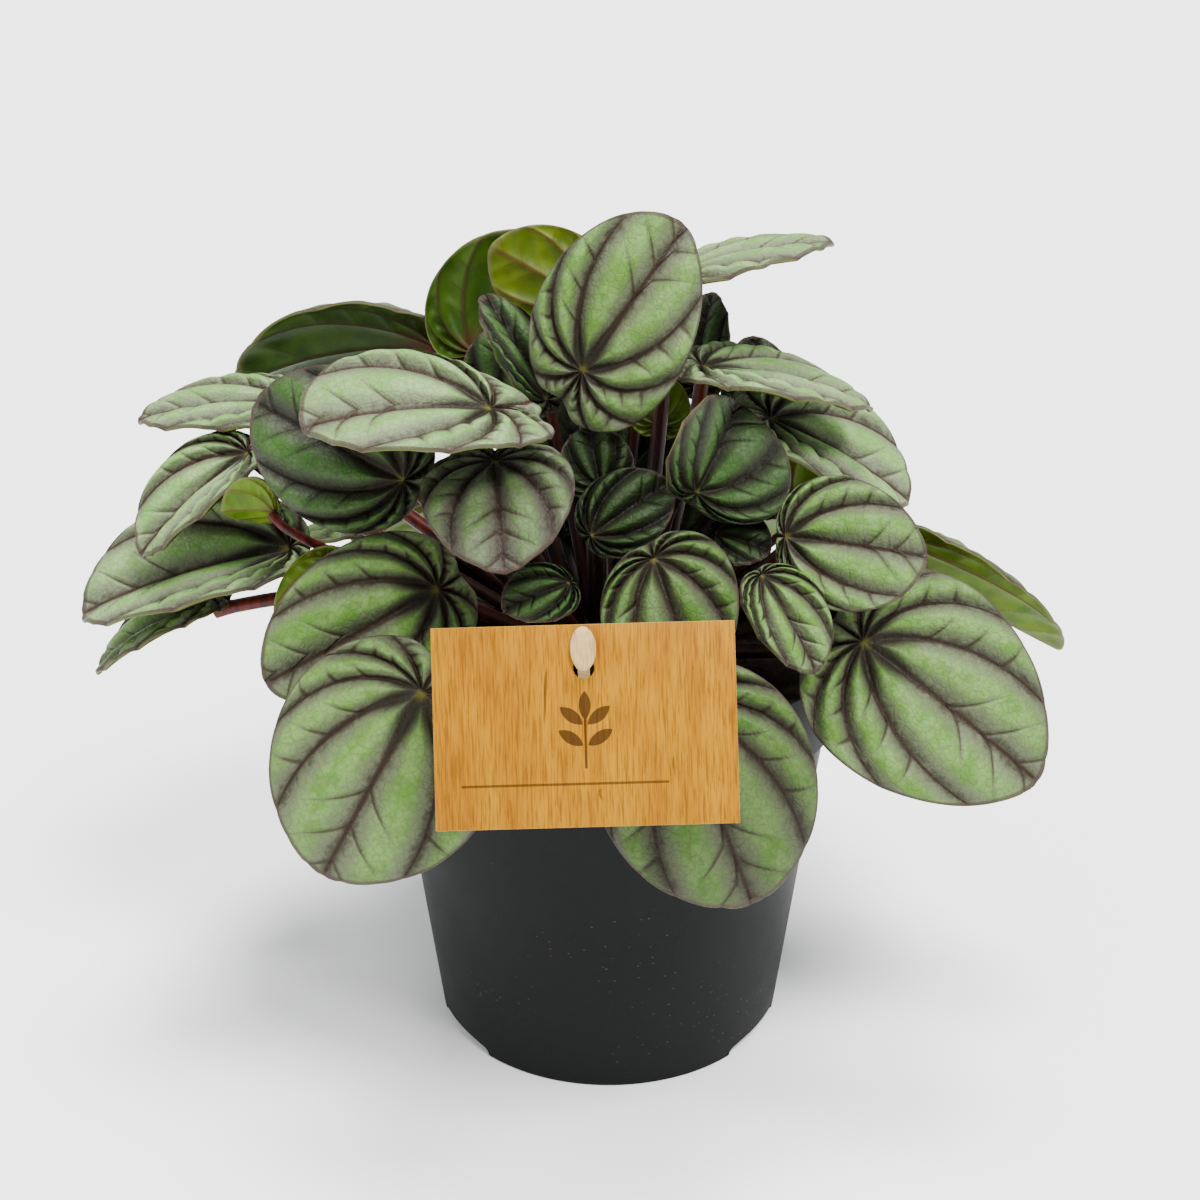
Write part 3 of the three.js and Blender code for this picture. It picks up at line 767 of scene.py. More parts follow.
    def vein_colour(self, shader: Shader, pattern: VeinPattern, colour: Socket) -> Socket:
        """Draws the veins, the dark middle round the joint and the margin line over the pillows.

        Args:
            shader: The leaf's material.
            pattern: Where its veins are.
            colour: The pillows' colour.

        Returns:
            The colour.
        """
        colours = self.tone.value
        colour = shader.layer(colour, colours.vein, pattern.fork_gap, 0.1, 0.6, 0.75, 0.0)
        inward = shader.math("POWER", shader.math("SUBTRACT", 1.0, pattern.ring), 2.0)
        vein_width = shader.math("MULTIPLY_ADD", inward, 0.7, 0.5)
        line = shader.fade(shader.math("DIVIDE", pattern.vein_gap, vein_width), 0.3, 1.4, 0.95, 0.0)
        colour = shader.mix(line, colour, colours.vein)
        pillow_start = shader.math("MULTIPLY_ADD", pattern.ridge, -0.17, 0.29)
        heart = shader.fade(shader.math("SUBTRACT", pattern.ring, pillow_start), -0.09, 0.1, 0.9, 0.0)
        colour = shader.mix(heart, colour, colours.heart)
        colour = shader.layer(colour, colours.spot, pattern.ring, 0.0, 0.06, 0.85, 0.0)
        return shader.layer(colour, colours.edge, pattern.ring, 0.975, 0.99, 0.0, 0.8)


@dataclass(frozen=True)
class LeafUnder:
    """A blade's underside: smooth yellow-green skin with brownish ribs and a reddish middle.

    Attributes:
        tone: The kind of underside.
        blotch_scale: How many blotches fit in a metre.
        grain_scale: The same for the fine grain.
        relief_height: The height of the grain, in millimetres.
        roughness: The roughness.
        specular: The specular level.
    """

    tone: Under
    blotch_scale: float = 140.0
    grain_scale: float = 1100.0
    relief_height: float = 0.08
    roughness: float = 0.46
    specular: float = 0.16

    def build(self) -> bpy.types.Material:
        """Builds the material.

        Returns:
            The material, which reads the blade's attributes and UV map.
        """
        colours = self.tone.value
        shader = Shader(f"leaf_under_{self.tone.name.lower()}")
        pattern = VeinPattern(shader)
        blotches = shader.noise(shader.object, self.blotch_scale, 3.0)
        grain = shader.noise(shader.object, self.grain_scale, 3.0)
        colour = shader.layer(colours.skin, colours.light, blotches, 0.35, 0.68)
        colour = shader.layer(colour, colours.rib, pattern.fork_gap, 0.1, 0.6, 0.5, 0.0)
        colour = shader.layer(colour, colours.rib, pattern.vein_gap, 0.3, 1.3, 0.85, 0.0)
        colour = shader.layer(colour, colours.heart, pattern.ring, 0.05, 0.3, 0.6, 0.0)
        colour = shader.layer(colour, colours.edge, pattern.ring, 0.95, 0.99, 0.0, 0.6)
        shader.emboss(grain, self.relief_height, 0.7)
        return shader.skin(colour, self.roughness, self.specular)


@dataclass(frozen=True)
class StalkSkin:
    """A stalk's fleshy red skin, with darker streaks and fine pale specks, and painted shade that turns it
    nearly black at the crown.

    Attributes:
        red: The main colour.
        dark: The darker streaks.
        pale: The specks.
        crown_shade: The painted shade on the stalks near the crown, where the leaves above shade them.
        crown_shade_radius: Where the painted shade starts to fade and has gone, in metres from the crown.
        crown_shade_height: The same in metres above the floor.
        streak_scale: How many streaks fit in a metre along each axis.
        speck_scale: How many specks fit in a metre.
        relief_height: The height of the streaks, in millimetres.
        roughness: The roughness.
        specular: The specular level.
    """

    red: Colour = shade(86, 20, 11)
    dark: Colour = shade(48, 11, 7)
    pale_lit: Colour = shade(96, 42, 24)
    crown_shade: Colour = shade(14, 6, 4)
    crown_shade_radius: tuple[float, float] = (0.034, 0.056)
    crown_shade_height: tuple[float, float] = (0.14, 0.17)
    streak_scale: Point = (700.0, 700.0, 60.0)
    speck_scale: float = 1500.0
    relief_height: float = 0.12
    roughness: float = 0.4
    specular: float = 0.2

    def build(self) -> bpy.types.Material:
        """Builds the material.

        Returns:
            The material.
        """
        shader = Shader("stalk_skin")
        streaks = shader.noise(shader.stretched(shader.object, self.streak_scale), 1.0, 4.0, 0.6)
        specks = shader.cells(shader.object, self.speck_scale)
        colour = shader.layer(self.dark, self.red, streaks, 0.35, 0.65)
        colour = shader.layer(colour, self.pale_lit, specks, 0.32, 0.12, 0.0, 0.5)
        x, y, z = shader.parts(shader.object)
        # Painted shade: the stalks darken to nearly black close to the crown and low down, where the leaves
        # shade them.
        apart = shader.math("SQRT", shader.math("MULTIPLY_ADD", x, x, shader.math("MULTIPLY", y, y)))
        near = shader.fade(apart, *self.crown_shade_radius, 1.0, 0.0)
        crown_shade = shader.math("MULTIPLY", near, shader.fade(z, *self.crown_shade_height, 0.9, 0.0))
        colour = shader.mix(crown_shade, colour, self.crown_shade)
        shader.emboss(streaks, self.relief_height, 0.7)
        return shader.skin(colour, self.roughness, self.specular)


@dataclass(frozen=True)
class PotPlastic:
    """Dark grey moulded plastic with a dull bloom, faint scuffs and a few specks of dust.

    Attributes:
        body: The plastic.
        bloom: The dull bloom and the scuffs.
        dust: The specks.
        cloud_scale: How many clouds of bloom fit in a metre.
        scuff_scale: How many scuffs fit in a metre along each axis.
        speck_scale: How many specks fit in a metre.
        dust_scale: How many dusty places fit in a metre.
        grain_scale: How much grain of the mould fits in a metre.
        relief_height: The grain's height, in millimetres.
        roughness: The roughness of the clean and of the clouded places.
        specular: The specular level.
    """

    body: Colour = shade(15, 16, 16)
    bloom: Colour = shade(23, 24, 24)
    dust: Colour = shade(80, 80, 77)
    cloud_scale: float = 26.0
    scuff_scale: Point = (60.0, 60.0, 900.0)
    speck_scale: float = 420.0
    dust_scale: float = 34.0
    grain_scale: float = 1800.0
    relief_height: float = 0.05
    roughness: tuple[float, float] = (0.5, 0.62)
    specular: float = 0.08

    def build(self) -> bpy.types.Material:
        """Builds the material.

        Returns:
            The material.
        """
        shader = Shader("pot_plastic")
        cloud = shader.noise(shader.object, self.cloud_scale, 5.0, 0.6)
        scuffs = shader.noise(shader.stretched(shader.object, self.scuff_scale), 1.0, 5.0, 0.7)
        specks = shader.cells(shader.stretched(shader.object, (1.0, 1.0, 1.6)), self.speck_scale)
        thin_out = shader.noise(shader.object, self.dust_scale, 2.0)
        colour = shader.layer(self.body, self.bloom, cloud, 0.4, 0.75, 0.0, 0.5)
        colour = shader.layer(colour, self.bloom, scuffs, 0.6, 0.82, 0.0, 0.35)
        dusty = shader.math("MULTIPLY", shader.fade(specks, 0.16, 0.07), shader.fade(thin_out, 0.5, 0.62))
        colour = shader.mix(shader.math("MULTIPLY", dusty, 0.55), colour, self.dust)
        shader.emboss(shader.noise(shader.object, self.grain_scale, 3.0, 0.6), self.relief_height, 0.6)
        return shader.skin(colour, shader.fade(cloud, 0.3, 0.7, *self.roughness), self.specular)


@dataclass(frozen=True)
class SoilSkin:
    """Dark, damp potting soil with reddish bark.

    Attributes:
        peat: The dark peat.
        bark: The bark.
        clod_scale: How many clods fit in a metre.
        bark_scale: How many bits of bark fit in a metre.
        relief_height: The clods' height, in millimetres.
        roughness: The roughness.
        specular: The specular level.
    """

    peat: Colour = shade(15, 9, 6)
    bark: Colour = shade(44, 26, 16)
    clod_scale: float = 420.0
    bark_scale: float = 360.0
    relief_height: float = 1.2
    roughness: float = 0.85
    specular: float = 0.25

    def build(self) -> bpy.types.Material:
        """Builds the material.

        Returns:
            The material.
        """
        shader = Shader("potting_soil")
        clods = shader.noise(shader.object, self.clod_scale, 6.0, 0.7)
        pieces = shader.cells(shader.object, self.bark_scale)
        colour = shader.layer(self.peat, self.bark, clods, 0.4, 0.75)
        colour = shader.layer(colour, self.bark, pieces, 0.5, 0.15, 0.0, 0.4)
        shader.emboss(clods, self.relief_height)
        return shader.skin(colour, self.roughness, self.specular)


@dataclass(frozen=True)
class CardPrint:
    """The label's print: upright wood grain in honey tones, with a rule line and a plain sprig.

    Attributes:
        honey: The main tone.
        light: Its lighter grain.
        dark: Its darker grain.
        ink: The rule line and the sprig.
        fine_scale: How much of the finest grain fits across and up the card.
        broad_scale: The same for the broad tones.
        crack_scale: The same for the dark cracks.
        rule_ends: Where the rule line starts and ends, as shares of the width.
        rule_height: How high it is, as a share of the height.
        rule_half: Half its width, as such a share.
        rule_strength: How much of the ink's colour it has.
        sprig_height: How high the sprig is, as such a share.
        sprig_strength: How much of the ink's colour it has.
        stem_half: Half its stem's width and half its length, in millimetres.
        stem_middle: How far the stem's middle is above that height, in millimetres.
        ink_blur: How wide the soft edge of the sprig is, in millimetres.
        leaflets: How far each leaflet leans, in degrees, and where on the stem it is, in millimetres.
        leaflet_disc: The radius of the discs that make a leaflet.
        disc_spread: How far apart a leaflet's two discs are, as a share of their diameter.
        leaflet_reach: How far a side leaflet's middle is from the stem.
        relief_height: The grain's height, in millimetres.
        roughness: The roughness.
        specular: The specular level.
    """

    honey: Colour = shade(142, 90, 0)
    light: Colour = shade(158, 108, 0)
    dark: Colour = shade(96, 54, 0)
    ink: Colour = shade(38, 20, 5)
    fine_scale: Point = (150.0, 5.0, 1.0)
    broad_scale: Point = (9.0, 1.2, 1.0)
    crack_scale: Point = (34.0, 2.2, 1.0)
    rule_ends: tuple[float, float] = (0.088, 0.771)
    rule_height: float = 0.214
    rule_half: float = 0.0045
    rule_strength: float = 0.75
    sprig_height: float = 0.4
    sprig_strength: float = 0.85
    stem_half: tuple[float, float] = (0.2, 5.5)
    stem_middle: float = 1.0
    ink_blur: float = 0.15
    leaflets: tuple[tuple[float, float], ...] = ((0, 8.4), (52, 5.0), (-52, 5.0), (58, 0.6), (-58, 0.6))
    leaflet_disc: float = 4.2
    disc_spread: float = 0.72
    leaflet_reach: float = 3.6
    relief_height: float = 0.03
    roughness: float = 0.5
    specular: float = 0.1

    def build(self) -> bpy.types.Material:
        """Builds the material.

        Returns:
            The material, which reads the card's UV map.
        """
        shader = Shader("label_card")
        fine = shader.noise(shader.stretched(shader.uv, self.fine_scale), 1.0, 5.0, 0.65, 0.3)
        broad = shader.noise(shader.stretched(shader.uv, self.broad_scale), 1.0, 3.0, 0.5, 0.6)
        cracks = shader.noise(shader.stretched(shader.uv, self.crack_scale), 1.0, 4.0, 0.55, 0.4)
        colour = shader.layer(self.honey, self.light, broad, 0.35, 0.65)
        colour = shader.layer(colour, self.dark, fine, 0.42, 0.66, 0.0, 0.75)
        colour = shader.layer(colour, self.light, fine, 0.45, 0.25, 0.0, 0.45)
        colour = shader.layer(colour, self.ink, cracks, 0.68, 0.72, 0.0, 0.6)
        for draw, strength in ((self.rule, self.rule_strength), (self.sprig, self.sprig_strength)):
            colour = shader.mix(shader.math("MULTIPLY", draw(shader), strength), colour, self.ink)
        shader.emboss(fine, self.relief_height, 0.5)
        return shader.skin(colour, self.roughness, self.specular)

    def rule(self, shader: Shader) -> Socket:
        """Draws the thin rule line near the card's lower edge.

        Args:
            shader: The material.

        Returns:
            The line's mask.
        """
        across, up, _ = shader.parts(shader.uv)
        start, end = self.rule_ends
        inside = shader.math("MULTIPLY", shader.math("GREATER_THAN", across, start),
                             shader.math("LESS_THAN", across, end))
        away = shader.math("ABSOLUTE", shader.math("SUBTRACT", up, self.rule_height))
        line = shader.fade(away, self.rule_half, 1.8 * self.rule_half, 1.0, 0.0)
        return shader.math("MULTIPLY", inside, line)

    def sprig(self, shader: Shader) -> Socket:
        """Draws a plain sprig of leaves, each the overlap of two discs.

        Args:
            shader: The material.

        Returns:
            The sprig's mask.
        """
        across, up, _ = shader.parts(shader.uv)
        x = shader.math("MULTIPLY", shader.math("SUBTRACT", across, 0.5), PlantLabel.width)
        y = shader.math("MULTIPLY", shader.math("SUBTRACT", up, self.sprig_height), PlantLabel.height)
        place = shader.add("ShaderNodeCombineXYZ")
        shader.put(place.inputs[0], x)
        shader.put(place.inputs[1], y)
        aside = shader.math("ABSOLUTE", x)
        away = shader.math("ABSOLUTE", shader.math("SUBTRACT", y, self.stem_middle))
        (half_width, half_length), blur = self.stem_half, self.ink_blur
        mask = shader.math("MULTIPLY", shader.fade(aside, half_width, half_width + blur, 1.0, 0.0),
                           shader.fade(away, half_length, half_length + 2 * blur, 1.0, 0.0))
        disc = self.leaflet_disc
        apart = self.disc_spread * disc
        for degrees, rise in self.leaflets:
            sine, cosine = math.sin(math.radians(degrees)), math.cos(math.radians(degrees))
            outward = self.leaflet_reach if degrees else 0.0
            leaf = 1.0
            for side in (-1, 1):
                centre = (sine * outward + side * cosine * apart,
                          rise + cosine * outward * 0.6 - side * sine * apart, 0.0)
                far = shader.add("ShaderNodeVectorMath", operation="DISTANCE")
                shader.put(far.inputs[0], place.outputs[0])
                shader.put(far.inputs[1], centre)
                inside = shader.fade(far.outputs["Value"], disc, disc + blur, 1.0, 0.0)
                leaf = shader.math("MULTIPLY", leaf, inside)
            mask = shader.math("MAXIMUM", mask, leaf)
        return mask


@dataclass(frozen=True)
class RawCard:
    """The card's pale cut edge and back.

    Attributes:
        pulp: The card.
        fibre: The paler fibres in it.
        fibre_scale: How many of them fit in a metre.
        roughness: The roughness.
        specular: The specular level.
    """

    pulp: Colour = shade(190, 146, 48)
    fibre: Colour = shade(206, 172, 92)
    fibre_scale: float = 1600.0
    roughness: float = 0.7
    specular: float = 0.3

    def build(self) -> bpy.types.Material:
        """Builds the material.

        Returns:
            The material.
        """
        shader = Shader("label_card_edge")
        fibres = shader.noise(shader.object, self.fibre_scale, 4.0, 0.6)
        colour = shader.layer(self.pulp, self.fibre, fibres, 0.35, 0.7)
        return shader.skin(colour, self.roughness, self.specular)


@dataclass(frozen=True)
class StakeWood:
    """Pale, sanded wood with fine grain along the strip.

    Attributes:
        pale: The wood.
        grain: Its darker grain.
        grain_scale: How much of it fits in a metre along each axis.
        relief_height: The grain's height, in millimetres.
        roughness: The roughness.
        specular: The specular level.
    """

    pale_lit: Colour = shade(182, 152, 98)
    grain: Colour = shade(134, 102, 56)
    grain_scale: Point = (2600.0, 500.0, 260.0)
    relief_height: float = 0.05
    roughness: float = 0.5
    specular: float = 0.4

    def build(self) -> bpy.types.Material:
        """Builds the material.

        Returns:
            The material.
        """
        shader = Shader("stake_wood")
        lines = shader.noise(shader.stretched(shader.object, self.grain_scale), 1.0, 4.0, 0.6)
        colour = shader.layer(self.pale_lit, self.grain, lines, 0.4, 0.7, 0.0, 0.8)
        shader.emboss(lines, self.relief_height, 0.6)
        return shader.skin(colour, self.roughness, self.specular)


@dataclass(frozen=True)
class FloorPaint:
    """The studio's plain pale floor.

    Attributes:
        white: The paint.
        roughness: The roughness.
        specular: The specular level.
    """

    white: Colour = shade(248, 248, 248)
    roughness: float = 0.9
    specular: float = 0.1

    def build(self) -> bpy.types.Material:
        """Builds the material.

        Returns:
            The material.
        """
        shader = Shader("floor_paint")
        return shader.skin(self.white, self.roughness, self.specular)


# ---------------------------------------------------------------- leaves


@dataclass
class Blade:
    """One quilted leaf blade, bent and placed as in the model.

    Attributes:
        name: What the leaf is called.
        joint: Where the stalk meets the blade.
        tip: The blade's point.
        face: The way its upper side looks.
        width: Across the blade.
        fold: How far the two halves rise from the midrib, in radians.
        droop: How far the blade arches from heel to tip, in radians.
        heel: How far it reaches behind the joint, as a share of its length.
        skew: How far its right half reaches ahead of its left half.
        taper: How much wider it is at the heel than at the tip.
        lift: How far the stalk climbs before it turns, where that isn't worked out.
        reach: How long the stalk's last stretch under the blade is.
        bend: A point that pulls the stalk's last stretch aside.
        upper: The kind of upper side, whose tone also carries the painted light and shade for where the leaf
            sits.
        under: The kind of underside; the dark kind is painted shade.
        thickness: The blade's own.
        veins_each_side: The main veins on each side of the midrib.
        vein_spread: How much closer the veins stand at the heel than at the tip.
        vein_bow: How much the veins bow outwards, in radians.
        grown_length: The length from which a leaf has its full relief.
        relief_depth: How high the pillows rise above the veins.
        relief_power: How flat their tops are, below 1 flatter than a sine.
        relief_sunk: How far the veins lie under the sheet.
        relief_full: Where on the ring the pillows have their full height.
        relief_fade: How much of it they lose towards the margin.
        margin_roll: How far the margin curls down.
        margin_inset: How far it stays inside the outline, as a share of the thickness.
        margin_bulge: How far its rounding swells, as a share of the thickness.
        point_share: The pointed tip's share of the length.
        furrow_depth: How deep the heel is notched, as a share of the heel.
        fork_depth: How deep the forks lie.
        fork_width: Half a fork's width.
        fork_starts: Where on the ring a main vein forks.
        fork_spread: How much those places vary from band to band.
        midrib_delay: How much later the forks of the midrib set out.
        fork_rise: How far a fork climbs on its way across the band.
        fork_curve: How much it bends on that way.
        fork_lean: How much nearer a slanting fork is than its distance along the ring.
        stalk_radius: The stalk's radius on a grown leaf.
        stalk_least: The least share of it that a young leaf has.
        stalk_gap: The room between the stalk's end and the blade.
        stalk_root: Where the stalk starts, as a share of the crown's radius.
        stalk_root_rise: How far above the soil that is.
        stalk_climb: How far it climbs before it turns, as a share of its height.
        stalk_lean: How far it leans out on that way, as a share of its reach.
        around: Cells round the joint.
        along: Cells from the joint over the margin and back.
        margin_start: Where on that way the margin's rounding starts.
        margin_end: Where it ends.
    """

    name: str
    joint: Point
    tip: Point
    face: Point
    width: float
    fold: float
    droop: float
    heel: float
    skew: float = 0.0
    taper: float = 0.1
    lift: float | None = None
    reach: float = 14.0
    bend: Point | None = None
    upper: Upper = Upper.FRESH
    under: Under = Under.YELLOW

    thickness = 0.9
    veins_each_side = 5
    vein_spread = 1.2
    vein_bow = 0.8
    grown_length = 40.0
    relief_depth = 2.6
    relief_power = 0.7
    relief_sunk = 0.9
    relief_full = 0.45
    relief_fade = 0.6
    margin_roll = 1.3
    margin_inset = 0.65
    margin_bulge = 0.3
    point_share = 0.03
    furrow_depth = 0.22
    fork_depth = 0.8
    fork_width = 1.1
    fork_starts = (0.3, 0.5, 0.7)
    fork_spread = 0.09
    midrib_delay = 0.26
    fork_rise = 0.42
    fork_curve = 1.05
    fork_lean = 0.75
    stalk_radius = 1.8
    stalk_least = 0.6
    stalk_gap = 0.12
    stalk_root = 0.55
    stalk_root_rise = 2.0
    stalk_climb = 0.45
    stalk_lean = 0.35
    around = 120
    along = 72
    margin_start = 0.52
    margin_end = 0.58

    def __post_init__(self) -> None:
        """Works out the blade's own frame and the bands' forks."""
        joint, tip = np.array(self.joint, float), np.array(self.tip, float)
        chord = np.linalg.norm(tip - joint)
        forward = unit(tip - joint)
        up = np.array(self.face, float)
        up = unit(up - forward * np.dot(up, forward))
        self.frame = np.array([np.cross(forward, up), forward, up])
        self.pitch = self.droop / 2
        self.length = chord * self.pitch / math.sin(self.pitch)
        self.curvature = self.droop / self.length
        self.growth = min(1.0, self.length / self.grown_length)
        draw = random.Random(self.name)
        bands = range(2 * self.veins_each_side)
        self.fork_shifts = np.array([draw.uniform(-self.fork_spread, self.fork_spread) for _ in bands])
        self.fork_shifts[[0, self.veins_each_side]] += self.midrib_delay

    def outline(self, angle: np.ndarray) -> tuple[np.ndarray, np.ndarray]:
        """The blade's outline in its own plane.

        Args:
            angle: 0 at the tip, pi or -pi at the heel.

        Returns:
            The outline's places across and along.
        """
        point_width, furrow_width = 0.3, 0.2
        half = (1 + self.heel - self.point_share) / 2
        point = self.point_share * np.exp(-((angle / point_width) ** 2))
        from_heel = np.pi - np.abs(angle)
        furrow = self.furrow_depth * self.heel * np.exp(-((from_heel / furrow_width) ** 2))
        x = self.width / 2 * np.sin(angle) * (1 - self.taper * np.cos(angle))
        y = self.length * (half - self.heel + half * np.cos(angle) + point + furrow)
        return x, y + self.skew * x

    def flat(self, vein: np.ndarray, ring: np.ndarray) -> tuple[np.ndarray, np.ndarray]:
        """Places in the flat blade.

        Args:
            vein: From -5 to 5 round the joint, whole on a main vein.
            ring: From 0 at the joint to 1 at the margin.

        Returns:
            The places across and along.
        """
        share = 1 - (1 - np.abs(vein) / self.veins_each_side) ** self.vein_spread
        angle = np.sign(vein) * np.pi * share
        x, y = self.outline(angle)
        heading = np.arctan2(x, y) + self.vein_bow * np.sin(angle) * (1 - ring)
        radius = ring * np.hypot(x, y)
        return radius * np.sin(heading), radius * np.cos(heading)

    def sheet(self, x: np.ndarray, y: np.ndarray) -> np.ndarray:
        """Folds and arches the flat blade.

        Args:
            x: Places across.
            y: Places along.

        Returns:
            The points, in the blade's own frame.
        """
        fold_room = 3
        tilt = self.fold * np.abs(x) / (np.abs(x) + fold_room)
        radius = 1 / self.curvature + np.abs(x) * np.sin(tilt)
        forward = radius * np.sin(self.curvature * y)
        height = radius * np.cos(self.curvature * y) - 1 / self.curvature
        cosine, sine = math.cos(self.pitch), math.sin(self.pitch)
        return np.stack([x * np.cos(tilt), forward * cosine - height * sine,
                         forward * sine + height * cosine], -1)

    def normal(self, x: np.ndarray, y: np.ndarray) -> np.ndarray:
        """The way the folded sheet faces at places of the flat blade."""
        step = 0.05
        across = self.sheet(x + step, y) - self.sheet(x - step, y)
        along = self.sheet(x, y + step) - self.sheet(x, y - step)
        return unit(np.cross(across, along))

    def ring_of(self, along: np.ndarray) -> np.ndarray:
        """Rows run out over the upper side, round the margin and back under it."""
        upper = along / self.margin_start
        under = (1 - along) / (1 - self.margin_end)
        return np.clip(np.minimum(upper, under), 0, 1)

    def side_of(self, along: np.ndarray) -> np.ndarray:
        """1 on the upper side, -1 on the underside, between them round the margin."""
        share = np.clip((along - self.margin_start) / (self.margin_end - self.margin_start), 0, 1)
        return np.cos(np.pi * share)

    def vein_of(self, around: np.ndarray) -> np.ndarray:
        """The vein coordinate of a share round the joint."""
        return (2 * around - 1) * self.veins_each_side

    def band(self, vein: np.ndarray, ring: np.ndarray) -> np.ndarray:
        """How wide the band between two main veins is, in the millimetres of a grown leaf."""
        low = np.clip(np.floor(vein), -self.veins_each_side, self.veins_each_side - 1)
        x0, y0 = self.flat(low, ring)
        x1, y1 = self.flat(low + 1, ring)
        return np.hypot(x1 - x0, y1 - y0) / self.growth

    def reach_of(self, vein: np.ndarray) -> np.ndarray:
        """How far the margin is from the joint, in the millimetres of a grown leaf."""
        return np.hypot(*self.flat(vein, np.ones_like(vein))) / self.growth

    def band_of(self, vein: np.ndarray) -> np.ndarray:
        """Which band between two main veins a place is in, counted from the midrib."""
        return np.clip(np.floor(np.abs(vein) + 1e-4), 0, self.veins_each_side - 1)

    def shift_of(self, vein: np.ndarray) -> np.ndarray:
        """How much later than usual the forks of a band set out, as a share of the ring."""
        return self.fork_shifts[(self.band_of(vein) + self.veins_each_side * (vein > 0)).astype(int)]

    def furrows(self, vein: np.ndarray, ring: np.ndarray) -> np.ndarray:
        """How deep the forks of the main veins lie.

        Args:
            vein: Vein coordinates.
            ring: Ring coordinates.

        Returns:
            The depths, from 0 to 1.
        """
        inside = np.clip(np.abs(vein) - self.band_of(vein), 0, 1)
        deep = np.zeros_like(ring)
        for start in self.fork_starts:
            line = start + self.shift_of(vein) + self.fork_rise * inside ** self.fork_curve
            gap = np.abs(ring - line) * self.reach_of(vein) * self.fork_lean
            deep = np.maximum(deep, np.exp(-((gap / self.fork_width) ** 2)))
        return deep * (1 - smooth(inside, 0.4, 0.95)) * np.sqrt(np.abs(np.sin(np.pi * inside)))

    def place(self, around: np.ndarray, along: np.ndarray) -> np.ndarray:
        """Points of the blade's closed skin.

        Args:
            around: Shares round the joint.
            along: Shares along the rows.

        Returns:
            The points in the plant.
        """
        vein, ring, side = self.vein_of(around), self.ring_of(along), self.side_of(along)
        x, y = self.flat(vein, ring)
        pillow = np.abs(np.sin(np.pi * vein)) ** self.relief_power
        swell = np.minimum(1, ring / self.relief_full) * (1 - self.relief_fade * ring ** 4)
        rounded = self.relief_depth * pillow - self.relief_sunk
        forked = self.fork_depth * self.furrows(vein, ring)
        relief = self.growth * (rounded * swell - forked - self.margin_roll * ring ** 5)
        offset = relief + side * self.thickness / 2
        edge = self.thickness / (self.width / 2)
        bulge = np.sqrt(np.clip(1 - side ** 2, 0, 1)) * self.margin_bulge * edge
        x, y = self.flat(vein, ring * (1 - self.margin_inset * edge) * (1 + bulge))
        local = self.sheet(x, y) + self.normal(x, y) * offset[:, None]
        return local @ self.frame + np.array(self.joint)

    def build(self, finishes: dict[Enum, bpy.types.Material]) -> bpy.types.Object:
        """Builds the blade as a closed, two-sided piece.

        Args:
            finishes: The leaf materials by their kind.

        Returns:
            The piece.
        """
        mesh = bmesh.new()
        notes = {
            "ring": lambda around, along: self.ring_of(along),
            "band": lambda around, along: self.band(self.vein_of(around), self.ring_of(along)),
            "reach": lambda around, along: self.reach_of(self.vein_of(around)),
            "shift": lambda around, along: self.shift_of(self.vein_of(around)),
        }
        Rolled(self.around, self.along).add_to(mesh, self.place, notes)
        uv = mesh.loops.layers.uv.verify()
        middle = (self.margin_start + self.margin_end) / 2
        for face in mesh.faces:
            if np.mean([loop[uv].uv.y for loop in face.loops]) > middle:
                face.material_index = 1
        seal(mesh)
        return piece_of(mesh, f"leaf_{self.name}_blade", f"leaf_{self.name}",
                        [finishes[self.upper], finishes[self.under]])

    def stalk_line(self, crown_radius: float, soil_top: float) -> tuple[np.ndarray, float]:
        """Works out the line of the leaf's stalk and its radius.

        Args:
            crown_radius: The crown's radius.
            soil_top: The height that the stalks rise from.

        Returns:
            The curve's four control points and the stalk's radius.
        """
        zero = np.zeros(1)
        under = -(self.normal(zero, zero) @ self.frame)[0]
        radius = self.stalk_radius * max(self.stalk_least, self.growth)
        joint = np.array(self.joint, float)
        approach = -under if self.bend is None else unit(joint - np.array(self.bend, float))
        slant = radius * math.sin(math.acos(min(1.0, float(np.dot(approach, -under)))))
        end = joint + under * (self.thickness / 2 + self.stalk_gap + slant)
        heading = math.atan2(end[1], end[0])
        root, root_height = crown_radius * self.stalk_root, soil_top + self.stalk_root_rise
        start = np.array([math.cos(heading) * root, math.sin(heading) * root, root_height])
        lift = self.stalk_climb * (end[2] - soil_top) if self.lift is None else self.lift
        rising = start + np.array([self.stalk_lean * end[0], self.stalk_lean * end[1], lift])
        turn_in = end + under * self.reach if self.bend is None else np.array(self.bend, float)
        return np.array([start, rising, turn_in, end]), radius


# ---------------------------------------------------------------- stalks and crown


